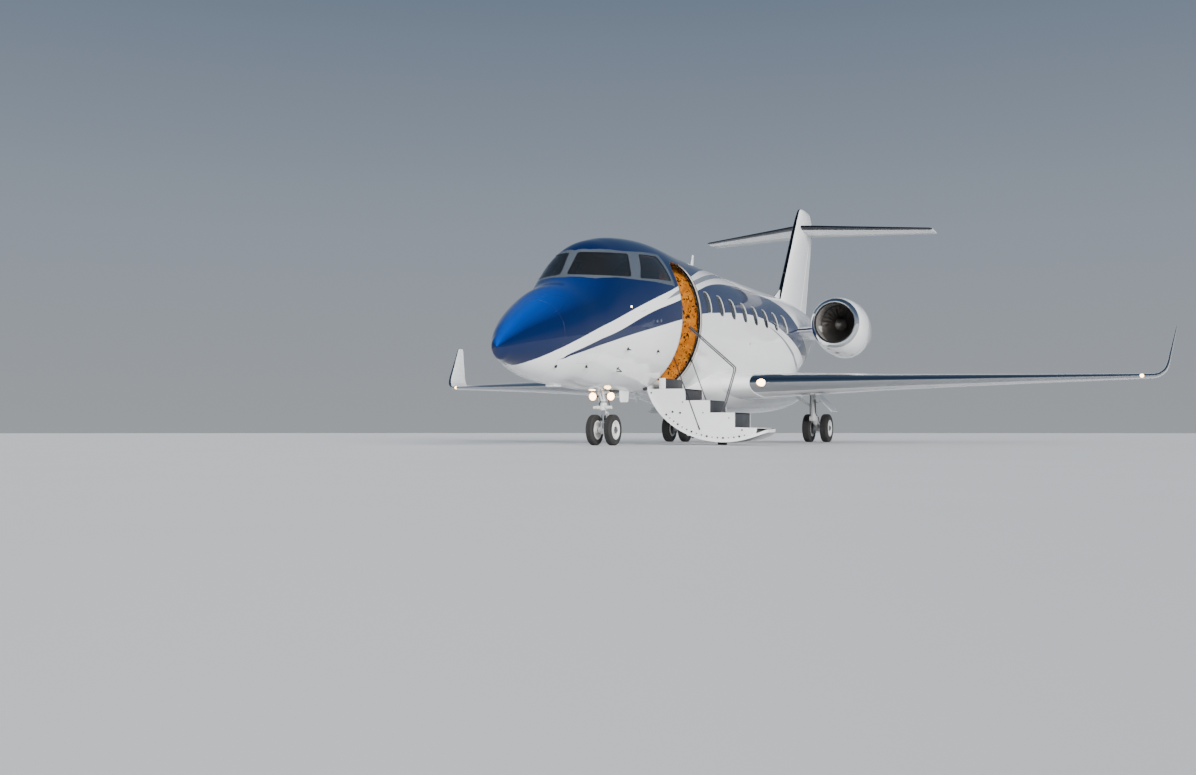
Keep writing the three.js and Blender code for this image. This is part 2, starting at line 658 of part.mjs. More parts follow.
// Cuts a movable surface out of a fixed one: a round nose about the hinge line, and its cove.
function splitSurface(whole, rows, spec) {
  const key = spec.upright ? "z" : "x";
  const endGap = spec.endGap ?? RUNNING_GAP;
  const [root, tip] = spec.hinge.map(([span, station]) => {
    const { z, half } = surfaceAt(rows, span, station, key);
    return { at: new THREE.Vector3(spec.upright ? 0 : span, station, z), half };
  });
  const along = tip.at.clone().sub(root.at);
  const reach = along.length();
  along.normalize();
  const outward = spec.upright ? new THREE.Vector3(1, 0, 0) : new THREE.Vector3(0, 0, 1);
  const aft = spec.upright ? new THREE.Vector3(0, 1, 0) : along.clone().cross(outward).negate();
  if (aft.y < 0) aft.negate();
  const on = (distance) => root.at.clone().addScaledVector(along, distance);
  const place = (p) => new THREE.Vector3(p.x, Y(p.y), p.z);

  const behind = (clear, shift) => {
    const corners = [on(clear), on(reach - clear)].map((p) => p.addScaledVector(aft, shift));
    corners.push(...corners.map((p) => p.clone().addScaledVector(aft, BEYOND)).reverse());
    const ring = (offset) => corners.map((p) => place(p.clone().addScaledVector(outward, offset)));
    return loft([ring(-BEYOND / 3), ring(BEYOND / 3)]);
  };
  const nose = (factor, grow, clear) => {
    const radius = (distance) => {
      const t = distance / reach;
      return (root.half + (tip.half - root.half) * t) * factor + grow;
    };
    const over = spec.upright ? COVE_MARGIN : 0;
    const [from, to] = [clear - over, reach - clear + over];
    const round = bar(on(from).toArray(), on(to).toArray(), radius(from), radius(to), 16);
    if (!spec.upright) return round;
    const low = on(clear);
    const high = on(reach - clear);
    return round.intersect(block([-BEYOND, low.y - BEYOND, low.z], [BEYOND, high.y + BEYOND, high.z]));
  };
  const pivot = (distance, inwards) => {
    const [base, end] = [PIVOT.depth, PIN_GAP].map((d) => on(distance + inwards * d).toArray());
    return bar(base, end, PIVOT.radius, PIVOT.tip);
  };
  const hole = behind(0, 0).add(nose(NOSE_CLEARANCE, RUNNING_GAP + 1, 0));
  const moving = joined([
    whole.intersect(behind(endGap, 3)),
    whole.intersect(nose(0.99, -1, endGap)),
    pivot(0, 1),
    pivot(reach, -1),
  ]);
  return { fixed: whole.subtract(hole), moving };
}

const wingWhole = liftingSurface(WING).subtract(cutHull);
const wingFlap = splitSurface(wingWhole, WING, FLAP);
const wingAileron = splitSurface(wingFlap.fixed, WING, AILERON);
for (const { name, s } of SIDES) {
  piece(`wing_${name}`, sided(wingAileron.fixed, s), "white");
  piece(`flap_${name}`, sided(wingFlap.moving, s), "white");
  piece(`aileron_${name}`, sided(wingAileron.moving, s), "white");
}

// Belly fairing under the wing roots
const FAIRING = [
  { at: 6900, top: 1240, bottom: 985, widest: 1180, half: 420 },
  { at: 7600, top: 1560, bottom: 860, widest: 1230, half: 1010 },
  { at: 8900, top: 1700, bottom: 705, widest: 1260, half: 1330 },
  { at: 12500, top: 1700, bottom: 700, widest: 1260, half: 1340 },
  { at: 13700, top: 1640, bottom: 850, widest: 1330, half: 1120 },
  { at: 15000, top: 1800, bottom: 1560, widest: 1700, half: 420 },
];
const fairingLoft = (inset) => loft(FAIRING.map((row) => ellipseRing(0, row.at, row, inset)));
const fairingBody = fairingLoft(0);
const wingsGrown = liftingSurface(WING.slice(0, 3), GAP);
const wingRoot = wingsGrown.add(block([900 - GAP, 7550, 1230], [905, 12790, 1250]));
const fairing = fairingBody
  .subtract(cutHull)
  .subtract(wingRoot)
  .subtract(mirrored(wingRoot));
const mainPads = SIDES.map(({ s }) => jackPad(s * JACK_PAD.side, JACK_PAD.mainAt, JACK_PAD.mainZ));
piece("belly_fairing", joined([fairing, ...mainPads]), "white");

// Tail
const bothSides = (made) => made.add(mirrored(made));
const elevatorPort = splitSurface(liftingSurface(TAILPLANE), TAILPLANE, ELEVATOR);
piece("tailplane", bothSides(elevatorPort.fixed), "grey");
for (const { name, s } of SIDES) piece(`elevator_${name}`, sided(elevatorPort.moving, s), "grey");

const strakeRing = (z, half) => [
  new THREE.Vector3(0, Y(STRAKE.from + (z - 3600) * 1.9), z),
  new THREE.Vector3(half, Y(STRAKE.to), z),
  new THREE.Vector3(-half, Y(STRAKE.to), z),
];
const strake = loft([strakeRing(3500, STRAKE.half), strakeRing(STRAKE.top, STRAKE.half * 0.6)]);
const finWhole = finSurface(FIN).add(strake).subtract(cutHull).subtract(bothSides(liftingSurface(TAILPLANE, GAP)));
const finSplit = splitSurface(finWhole, FIN, RUDDER);
piece("fin", finSplit.fixed, "white");
piece("rudder", finSplit.moving, "white");

// Engines
const engineRing = (row, section, inset = 0) => {
  const aft = Math.max(0, row.at - ENGINE.bendAt);
  const z = ENGINE.z - aft * ENGINE.droop;
  const lifted = { top: z + section.top, bottom: z - section.bottom, widest: z, half: section.half };
  return ellipseRing(ENGINE.x - aft * ENGINE.toeIn, ENGINE.lip + row.at, lifted, inset, NACELLE_SIDES);
};
const roundSection = (r) => ({ top: r, bottom: r, half: r });
const nacelleBody = loft(NACELLE.map((row) => engineRing(row, row)));
const nacelleGrown = loft(NACELLE.map((row) => engineRing(row, row, -GAP)));
const ductCut = (clear) => loft(DUCT.map((row) => engineRing(row, roundSection(row.r - clear))));
const nacelle = nacelleBody.subtract(ductCut(0));

const vanes = [...Array(OUTLET_VANES.count).keys()].map((index) => {
  const angle = ((index + 0.5) / OUTLET_VANES.count) * 360;
  const { from, to, thick, reach } = OUTLET_VANES;
  const vane = block([-thick / 2, ENGINE.lip + from, 200], [thick / 2, ENGINE.lip + to, reach]);
  const aft = (from + to) / 2 - ENGINE.bendAt;
  const axis = [ENGINE.x - aft * ENGINE.toeIn, 0, ENGINE.z - aft * ENGINE.droop];
  return vane.rotate([0, angle, 0]).translate(axis);
});
const coreBody = loft(CORE.map((row) => engineRing(row, roundSection(row.r))));
const core = joined([coreBody, ...vanes]).subtract(nacelleBody.subtract(ductCut(GAP)));

const fanHub = [
  { at: 480, r: 0 },
  { at: 500, r: 40 },
  { at: 600, r: 110 },
  { at: 690, r: FAN.hub },
  { at: 800, r: FAN.hub + 10 },
  { at: 800, r: FAN.shaft },
  { at: 869.5, r: FAN.shaft },
  { at: 869.5, r: 0 },
];
const blades = [...Array(FAN.blades).keys()].map((index) => {
  const ring = (radius, twist, width) => {
    const turn = THREE.MathUtils.degToRad(twist);
    const corners = [
      [-FAN.thick / 2, -width / 2],
      [FAN.thick / 2, -width / 2],
      [FAN.thick / 2, width / 2],
      [-FAN.thick / 2, width / 2],
    ];
    return corners.map(
      ([u, v]) =>
        new THREE.Vector3(
          u * Math.cos(turn) - v * Math.sin(turn),
          Y(ENGINE.lip + FAN.at) + (u * Math.sin(turn) + v * Math.cos(turn)) * 0.8,
          radius,
        ),
    );
  };
  const blade = loft([ring(FAN.hub - 40, 15, 130), ring(320, 40, 170), ring(FAN.radius, 58, 150)]);
  return blade.rotate([0, (index / FAN.blades) * 360, 0]).translate([ENGINE.x, 0, ENGINE.z]);
});
const fan = joined([turnedAlongY(fanHub, ENGINE.lip, ENGINE.x, ENGINE.z, 14), ...blades]);
const pylon = liftingSurface(PYLON).subtract(cutHull).subtract(nacelleGrown);
for (const { name, s } of SIDES) {
  piece(`nacelle_${name}`, sided(nacelle, s), "white");
  piece(`engine_core_${name}`, sided(core, s), "dark");
  piece(`fan_${name}`, sided(fan, s), "dark");
  piece(`pylon_${name}`, sided(pylon, s), "white");
}

// Wheels

const TYRE_SIDES = 24;
const RIM_SIDES = 16;

// A tyre as a closed ring about an axis parallel to X, standing on one of its flats.
function tyre(x, station, z, flatRadius, width, rimRadius) {
  const half = width / 2;
  const stretch = 1 / Math.cos(Math.PI / TYRE_SIDES);
  const radius = flatRadius * stretch;
  const rim = rimRadius * stretch;
  const rows = [
    [x - half * 0.82, rim],
    [x - half, rim + (radius - rim) * 0.4],
    [x - half * 0.86, rim + (radius - rim) * 0.82],
    [x - half * 0.45, radius],
    [x + half * 0.45, radius],
    [x + half * 0.86, rim + (radius - rim) * 0.82],
    [x + half, rim + (radius - rim) * 0.4],
    [x + half * 0.82, rim],
    [x - half * 0.82, rim],
  ];
  return turnedAlongX(rows, station, z, TYRE_SIDES, Math.PI / TYRE_SIDES);
}

// One rim: a dished wheel with a hub.
function rim(x, station, z, radius, width, outward) {
  const half = width / 2;
  const seatRadius = radius - PIN_GAP;
  const web = 16;
  const middle = x + outward * half * 0.35;
  const rows = [
    [x - half * 0.86, radius - 26],
    [x - half * 0.86, seatRadius],
    [x + half * 0.86, seatRadius],
    [x + half * 0.86, radius - 26],
    [middle + web, radius - 34],
    [middle + web, 66],
    [x + half * 0.95, 60],
    [x + half * 0.95, 0],
    [x - half * 0.95, 0],
    [x - half * 0.95, 60],
    [middle - web, 66],
    [middle - web, radius - 34],
    [x - half * 0.86, radius - 26],
  ];
  return turnedAlongX(rows, station, z, RIM_SIDES);
}

function wheelPair(spec, x) {
  const axleRadius = 36;
  const rims = [-1, 1].map((side) =>
    rim(x + side * spec.wheelX, spec.at, spec.axleZ, spec.rim, spec.width, side),
  );
  const axle = bar(
    [x - spec.wheelX, spec.at, spec.axleZ],
    [x + spec.wheelX, spec.at, spec.axleZ],
    axleRadius,
    axleRadius,
    20,
  );
  return joined([...rims, axle]);
}

const AXLE_BORE = 36.7;
const boreFor = (spec, x) =>
  bar([x - 300, spec.at, spec.axleZ], [x + 300, spec.at, spec.axleZ], AXLE_BORE, AXLE_BORE, 20);

// Nose gear
const noseAxis = NOSE_GEAR.at;
const crossBar = (station, z, radius) =>
  bar([-NOSE_BAY.half + GAP, station, z], [NOSE_BAY.half - GAP, station, z], radius);
const noseLeg = joined([
  bar([0, noseAxis, NOSE_LEG.bottom], [0, noseAxis, NOSE_BAY.roof - GAP], NOSE_LEG.radius),
  crossBar(noseAxis, NOSE_LEG.trunnionZ, 42),
  bar([0, noseAxis - 20, 800], [0, NOSE_LEG.braceAt - 10, NOSE_LEG.braceZ], 30),
  crossBar(NOSE_LEG.braceAt, NOSE_LEG.braceZ, 30),
  bar([0, noseAxis, NOSE_LEG.bottom], [0, noseAxis, NOSE_LEG.bottom + 90], NOSE_LEG.radius + 16),
  block([-190, noseAxis - 190, 835], [190, noseAxis - 40, 865]),
  block([-22, noseAxis - 190, 700], [22, noseAxis - 40, 865]),
  ...LAMPS.map((lamp) =>
    bar(
      [lamp.x, noseAxis - 300, lamp.z],
      [lamp.x, noseAxis - 170, lamp.z],
      lamp.radius,
      lamp.radius * 0.7,
      18,
    ),
  ),
]);
piece("nose_leg", noseLeg, "white");

const noseFork = joined([
  bar([0, noseAxis, NOSE_GEAR.axleZ], [0, noseAxis, NOSE_LEG.bottom - 0.5], 42),
  bar([0, noseAxis, 420], [0, noseAxis, 560], 56),
  bar([-70, noseAxis, NOSE_GEAR.axleZ], [70, noseAxis, NOSE_GEAR.axleZ], 60, 60, 20),
  bar([0, noseAxis + 30, 330], [0, noseAxis + 190, 470], 20),
  bar([0, noseAxis + 190, 470], [0, noseAxis + 40, 590], 20),
]).subtract(boreFor(NOSE_GEAR, 0));
piece("nose_fork", noseFork, "metal");
piece("nose_wheels", wheelPair(NOSE_GEAR, 0), "white");
for (const { name, s } of SIDES) {
  const tyreSolid = tyre(
    s * NOSE_GEAR.wheelX,
    NOSE_GEAR.at,
    NOSE_GEAR.axleZ,
    NOSE_GEAR.radius,
    NOSE_GEAR.width,
    NOSE_GEAR.rim,
  );
  piece(`nose_tyre_${name}`, tyreSolid, "tyre");
  const edge = NOSE_BAY.half - GAP;
  const door = block(
    [edge - NOSE_DOOR.thick, NOSE_DOOR.from, NOSE_DOOR.bottom],
    [edge, NOSE_DOOR.to, NOSE_DOOR.top],
  );
  piece(`nose_gear_door_${name}`, sided(door, s), "white");
}

// Main gear
const wingUnder = liftingSurface(WING.slice(0, 3), GAP);
const mainLeg = joined([
  bar([MAIN_GEAR.x, MAIN_LEG.at, MAIN_LEG.kneeZ - 60], [MAIN_GEAR.x, MAIN_LEG.at, 1300], MAIN_LEG.radius),
  bar([MAIN_GEAR.x - 90, MAIN_LEG.at, MAIN_LEG.kneeZ], [MAIN_GEAR.x + 90, MAIN_LEG.at, MAIN_LEG.kneeZ], 66),
  bar([MAIN_GEAR.x, MAIN_LEG.at, MAIN_LEG.kneeZ], [MAIN_GEAR.x, MAIN_GEAR.at, MAIN_GEAR.axleZ], 58),
  bar(
    [MAIN_GEAR.x - 92, MAIN_GEAR.at, MAIN_GEAR.axleZ],
    [MAIN_GEAR.x + 92, MAIN_GEAR.at, MAIN_GEAR.axleZ],
    68,
    68,
    20,
  ),
  bar([MAIN_GEAR.x, MAIN_GEAR.at - 40, 390], [MAIN_GEAR.x, MAIN_LEG.at + 60, 1000], 34),
  bar([MAIN_GEAR.x, MAIN_LEG.at, 820], [MAIN_GEAR.x - 520, MAIN_LEG.at - 40, 1160], 34),
])
  .subtract(boreFor(MAIN_GEAR, MAIN_GEAR.x))
  .subtract(wingUnder)
  .subtract(slab(0, AFT, 1240, 3000))
  .subtract(fairingLoft(-GAP));
const legBodies = mainLeg.decompose().sort((a, b) => b.volume() - a.volume());
const MAIN_DOOR = { x: 1905, half: 15, tip: 2300, top: 1120, bottom: 700, from: 11780, to: 12480 };
const mainDoor = plate(
  [
    [MAIN_DOOR.x, MAIN_DOOR.top + 200],
    [MAIN_DOOR.x + 30, MAIN_DOOR.top + 200],
    [MAIN_DOOR.x + 30, MAIN_DOOR.top],
    [MAIN_DOOR.tip + 30, MAIN_DOOR.bottom],
    [MAIN_DOOR.tip, MAIN_DOOR.bottom],
    [MAIN_DOOR.x, MAIN_DOOR.top - 20],
  ],
  MAIN_DOOR.from,
  MAIN_DOOR.to,
)
  .subtract(wingUnder)
  .subtract(slab(0, AFT, 1230, 3000));
const mainWheels = wheelPair(MAIN_GEAR, MAIN_GEAR.x);
for (const { name, s } of SIDES) {
  piece(`main_leg_${name}`, sided(legBodies[0], s), "white");
  piece(`main_gear_door_${name}`, sided(mainDoor, s), "white");
  piece(`main_wheels_${name}`, sided(mainWheels, s), "white");
  for (const side of [-1, 1]) {
    const tyreSolid = tyre(
      MAIN_GEAR.x + side * MAIN_GEAR.wheelX,
      MAIN_GEAR.at,
      MAIN_GEAR.axleZ,
      MAIN_GEAR.radius,
      MAIN_GEAR.width,
      MAIN_GEAR.rim,
    );
    const place = side > 0 ? "outer" : "inner";
    piece(`main_tyre_${place}_${name}`, sided(tyreSolid, s), "tyre");
  }
}

// Airstair
const doorSkin = outerHull.intersect(doorPrism(DOOR_GAP)).subtract(hull(DOOR.skin));
const stairFoot = block(
  [STAIR_FOOT.x - STAIR_FOOT.width / 2, 5560, STAIR_FOOT.bottom],
  [STAIR_FOOT.x + STAIR_FOOT.width / 2, 5560 + STAIR_FOOT.depth, STAIR_FOOT.top],
);
const innerSpace = opened(hull(DOOR.skin + GAP));
const doorTube = hingeBar(DOOR.from + PIN_GAP, DOOR.to - PIN_GAP, DOOR_HINGE.radius);
const airstairDoor = joined([opened(doorSkin), stairFoot.subtract(innerSpace), doorTube]);
piece("airstair_door", airstairDoor, "white");

const stepLine = STEPS.flatMap((step, i) => [
  [step.from, step.top],
  [step.to, step.top],
  ...(i === STEPS.length - 1 ? [[step.to, STEP_END.top], [STEP_END.x, STEP_END.top - 20]] : []),
]);
const sidePlate = (from) =>
  plate([...stepLine, [STEP_END.x, -600], [STEPS[0].from, -600]], from, from + PLATE.thick);
const frontPlateAt = DOOR.from + PLATE.inset;
const rearPlateAt = DOOR.to - PLATE.inset - PLATE.thick;
const treads = STEPS.flatMap((step, i) => {
  const next = i + 1 < STEPS.length ? STEPS[i + 1].top : STEP_END.top;
  return [
    block([step.from, frontPlateAt, step.top - TREAD], [step.to, rearPlateAt + PLATE.thick, step.top]),
    block([step.to - TREAD, frontPlateAt, next - TREAD], [step.to, rearPlateAt + PLATE.thick, step.top]),
  ];
});
const lastTread = block(
  [STEPS[2].to - TREAD, frontPlateAt, STEP_END.top - TREAD],
  [STEP_END.x - 120, rearPlateAt + PLATE.thick, STEP_END.top - 22],
);
const stay = (station) => {
  const [top, foot] = [STAY.top, STAY.foot];
  return bar([top[0], station, top[1]], [foot[0], station, foot[1]], STAY.radius, STAY.radius, 8);
};
const stairs = joined([sidePlate(frontPlateAt), sidePlate(rearPlateAt), ...treads, lastTread])
  .intersect(innerSpace)
  .intersect(opened(doorPrism(DOOR_GAP, -DOOR.sill)))
  .add(stay(frontPlateAt - 3))
  .add(stay(rearPlateAt + PLATE.thick + 3));
piece("airstair_steps", stairs, "white");

const railPoint = ([x, z]) => [x, RAIL.at + 14, z];
const handrail = joined([
  bar(railPoint(RAIL.top), railPoint(RAIL.elbow), RAIL.radius, RAIL.radius, 10),
  bar(railPoint(RAIL.elbow), railPoint([RAIL.foot[0], STEPS[2].top + 0.3]), RAIL.radius, RAIL.radius, 10),
]).subtract(block([0, 4000, 0], [4000, 7000, STEPS[2].top + GAP]));
piece("airstair_handrail", handrail, "grey");

export default group;
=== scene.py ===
"""A parked twin-engined business jet with its airstair down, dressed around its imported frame."""

import logging
import math
from collections.abc import Callable, Iterable, Sequence
from dataclasses import dataclass
from enum import Enum

import bmesh
import bpy
from mathutils import Matrix, Vector


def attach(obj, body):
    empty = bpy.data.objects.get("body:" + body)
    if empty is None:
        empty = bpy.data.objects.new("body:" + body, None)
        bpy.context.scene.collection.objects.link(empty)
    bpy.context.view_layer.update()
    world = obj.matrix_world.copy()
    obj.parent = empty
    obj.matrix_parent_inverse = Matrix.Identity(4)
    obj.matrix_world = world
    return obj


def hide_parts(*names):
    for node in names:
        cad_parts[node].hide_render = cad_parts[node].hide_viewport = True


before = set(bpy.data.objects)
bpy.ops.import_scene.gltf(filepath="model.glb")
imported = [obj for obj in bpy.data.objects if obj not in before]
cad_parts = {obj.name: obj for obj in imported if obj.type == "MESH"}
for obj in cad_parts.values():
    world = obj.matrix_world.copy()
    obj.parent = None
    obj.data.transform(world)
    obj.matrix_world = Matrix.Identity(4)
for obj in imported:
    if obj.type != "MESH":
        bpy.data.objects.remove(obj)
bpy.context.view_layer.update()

LOG = logging.getLogger("jet")
# The station over the origin, and how many metres of stations the livery's chart spans
DATUM = 10.225
CHART_LENGTH = 20.0
UP = Vector((0, 0, 1))
AFT = Vector((0, 1, 0))
PORTWARD = Vector((1, 0, 0))
Ring = list[Vector]
Chart = list[tuple[float, float]]
Colour = tuple[float, float, float]


class Side(Enum):
    """The two sides of the aircraft, by the sign of the span."""

    PORT = 1
    STARBOARD = -1

    @property
    def label(self) -> str:
        """The word that ends a piece's name."""
        return self.name.lower()


class Slot(Enum):
    """The record's material slots by name."""

    WHITE = "white_paint"
    BLUE = "blue_paint"
    GLASS = "window_glass"
    BARE = "bare_metal"
    DARK = "dark_metal"
    TYRE = "tyre_rubber"
    LEATHER = "seat_leather"
    PLASTIC = "panel_plastic"


class Cut(Enum):
    """What a Boolean does with the tool."""

    AWAY = "DIFFERENCE"
    KEEP = "INTERSECT"
    JOIN = "UNION"


def at(x: float, station: float, z: float) -> Vector:
    """The point of the row frame at a span, a station and a height."""
    return Vector((x, station - DATUM, z))


def mix(a: float, b: float, t: float) -> float:
    """The value a share t of the way from a to b."""
    return a + (b - a) * t


def turns(count: int, shift: float = 0.0) -> list[float]:
    """Evenly spaced angles round a full turn, from a share of one step on."""
    return [math.tau * (k + shift) / count for k in range(count)]


def egg(turn: float, half: float, above: float, below: float) -> tuple[float, float]:
    """The point at an angle from the top of two joined half ellipses: how far across and how far up."""
    rise = math.cos(turn)
    return half * math.sin(turn), (above if rise > 0 else below) * rise


def darker(colour: Colour, share: float) -> Colour:
    """A share of a colour."""
    return tuple(c * share for c in colour)


def catmull(rows: Sequence[Sequence[float]], steps: int) -> list[tuple[float, ...]]:
    """Rows made smooth by a Catmull-Rom curve through them.

    Args:
        rows: The given rows, all of one length.
        steps: How many parts each interval gets.

    Returns:
        The finer rows, with the first and last ones kept.
    """
    out: list[tuple[float, ...]] = []
    for k in range(len(rows) - 1):
        before, a = rows[max(k - 1, 0)], rows[k]
        b, after = rows[k + 1], rows[min(k + 2, len(rows) - 1)]
        for i in range(steps):
            t = i / steps
            out.append(tuple(
                0.5 * (2 * q + (r - p) * t + (2 * p - 5 * q + 4 * r - s) * t * t
                       + (3 * q - p - 3 * r + s) * t ** 3)
                for p, q, r, s in zip(before, a, b, after)
            ))
    out.append(tuple(rows[-1]))
    return out


# Shader expressions


@dataclass(frozen=True)
class Wire:
    """One shader socket, wrapped so that maths on it reads as Python."""

    graph: "Graph"
    socket: bpy.types.NodeSocket

    def math(self, operation: str, *others: "Wire | float", clamp: bool = False) -> "Wire":
        """A Math node with this value first."""
        settings = {"operation": operation, "use_clamp": clamp}
        return self.graph.node("ShaderNodeMath", settings, dict(enumerate((self, *others))))

    def __add__(self, other: "Wire | float") -> "Wire":
        """The sum."""
        return self.math("ADD", other)

    __radd__ = __add__

    def __sub__(self, other: "Wire | float") -> "Wire":
        """This less the other."""
        return self.math("SUBTRACT", other)

    def __rsub__(self, other: float) -> "Wire":
        """The other less this."""
        return self.graph.node("ShaderNodeMath", {"operation": "SUBTRACT"}, {0: other, 1: self})

    def __mul__(self, other: "Wire | float") -> "Wire":
        """The product."""
        return self.math("MULTIPLY", other)

    __rmul__ = __mul__

    def clamped(self) -> "Wire":
        """The value held between 0 and 1."""
        return self.math("ADD", 0.0, clamp=True)

    def below(self, limit: "Wire | float", soft: float) -> "Wire":
        """1 where this is under the limit, with an edge as wide as soft."""
        scaled = (limit - self) if isinstance(limit, Wire) else (self * -1.0 + limit)
        return scaled.math("MULTIPLY_ADD", 1.0 / soft, 0.5, clamp=True)

    def near(self, place: float, half: float, soft: float) -> "Wire":
        """1 within a half width of a place."""
        return (self - place).math("ABSOLUTE").below(half, soft)


class Graph:
    """A material's node tree, with one method that adds any node."""

    def __init__(self, name: str) -> None:
        """Starts an empty material.

        Args:
            name: The material's name.
        """
        self.material = bpy.data.materials.new(name)
        self.material.use_nodes = True
        self.tree = self.material.node_tree
        self.shader = self.tree.nodes["Principled BSDF"]

    def node(
        self,
        kind: str,
        settings: dict[str, object] | None = None,
        inputs: dict[int | str, object] | None = None,
        output: int | str = 0,
    ) -> Wire:
        """Adds a node.

        Args:
            kind: The node's type.
            settings: Its own properties, set before its sockets.
            inputs: Values or wires by socket.
            output: Which output to return.

        Returns:
            The wire of that output.
        """
        made = self.tree.nodes.new(kind)
        for key, value in (settings or {}).items():
            setattr(made, key, value)
        for key, value in (inputs or {}).items():
            self.feed(made.inputs[key], value)
        return Wire(self, made.outputs[output])

    def feed(self, socket: bpy.types.NodeSocket, value: object) -> None:
        """Links a wire to a socket, or sets its value."""
        if isinstance(value, Wire):
            self.tree.links.new(value.socket, socket)
        else:
            socket.default_value = value

    def set(self, **inputs: object) -> None:
        """Sets sockets of the Principled shader, with _ for a space in a name."""
        for key, value in inputs.items():
            self.feed(self.shader.inputs[key.replace("_", " ")], value)

    def place(self) -> Wire:
        """The object coordinates, in metres."""
        return self.node("ShaderNodeTexCoord", output="Object")

    def parts(self, vector: Wire) -> tuple[Wire, Wire, Wire]:
        """The three parts of a vector."""
        split = self.node("ShaderNodeSeparateXYZ", {}, {0: vector}).socket.node
        return tuple(Wire(self, split.outputs[k]) for k in range(3))

    def chart(self) -> tuple[Wire, Wire]:
        """The two coordinates of the piece's own map."""
        first, second, _ = self.parts(self.node("ShaderNodeUVMap", {"uv_map": "chart"}))
        return first, second

    def noise(self, scale: float, detail: float = 3.0, twist: float = 0.0, where: Wire | None = None) -> Wire:
        """Noise between 0 and 1."""
        inputs = {"Vector": where or self.place(), "Scale": scale, "Detail": detail, "Distortion": twist}
        return self.node("ShaderNodeTexNoise", {}, inputs)

    def stretched(self, scale: tuple[float, float, float]) -> Wire:
        """Object coordinates with a scale of their own on each axis."""
        return self.node("ShaderNodeMapping", {}, {"Vector": self.place(), "Scale": scale})

    def blend(self, factor: Wire | float, low: Wire | Colour, high: Wire | Colour) -> Wire:
        """A colour between two others."""
        a, b = ((*c, 1.0) if isinstance(c, tuple) else c for c in (low, high))
        return self.node("ShaderNodeMix", {"data_type": "RGBA"}, {0: factor, 6: a, 7: b}, 2)

    def curve(self, points: Sequence[tuple[float, float]], x: Wire) -> Wire:
        """A smooth curve through points, read at x."""
        made = self.node("ShaderNodeFloatCurve", {}, {"Value": x})
        mapping = made.socket.node.mapping
        knots = mapping.curves[0].points
        for knot, point in zip(knots, (points[0], points[-1])):
            knot.location = point
        for point in points[1:-1]:
            knots.new(*point)
        mapping.update()
        return made

    def ramp(self, factor: Wire, stops: Sequence[tuple[float, Colour]]) -> Wire:
        """A colour ramp."""
        made = self.node("ShaderNodeValToRGB", {}, {0: factor})
        stops_made = made.socket.node.color_ramp.elements
        for k, (position, colour) in enumerate(stops):
            stop = stops_made[k] if k < 2 else stops_made.new(position)
            stop.position = position
            stop.color = (*colour, 1.0)
        return made

    def bump(self, height: Wire, strength: float, distance: float) -> None:
        """Feeds the shader's normal from a height."""
        inputs = {"Height": height, "Strength": strength, "Distance": distance}
        self.set(Normal=self.node("ShaderNodeBump", {}, inputs))


# Finishes

WHITE: Colour = (0.84, 0.85, 0.86)
STRIPE_GREY: Colour = (0.19, 0.205, 0.23)
NAVY: Colour = (0.001, 0.008, 0.048)
# The azure of the painted highlight that lightens the navy near the nose.
PAINTED_HIGHLIGHT_BLUE: Colour = (0.0, 0.04, 0.27)
MASK_GREY: Colour = (0.06, 0.072, 0.09)


@dataclass(frozen=True)
class Finish:
    """A surface finish that becomes one material."""

    name: str

    def shade(self, graph: Graph) -> None:
        """Fills the node tree."""

    def material(self) -> bpy.types.Material:
        """The finish's material, made on first use."""
        found = bpy.data.materials.get(self.name)
        if found is None:
            graph = Graph(self.name)
            self.shade(graph)
            found = graph.material
        return found


@dataclass(frozen=True)
class GlossPaint(Finish):
    """Sprayed gloss paint with faint grime and orange peel."""

    colour: Colour = WHITE
    rough: float = 0.16
    grime: float = 0.12

    def shade(self, graph: Graph) -> None:
        """Paint that dulls a little where dirt has settled."""
        dirt = graph.noise(1.7, 6.0, 0.6)
        graph.set(
            Base_Color=graph.blend(dirt, self.colour, darker(self.colour, 1 - self.grime)),
            Roughness=dirt.math("MULTIPLY_ADD", 0.12, self.rough - 0.04),
            Coat_Weight=0.7,
            Coat_Roughness=0.05,
        )
        graph.bump(graph.noise(420.0, 2.0), 0.04, 0.0005)


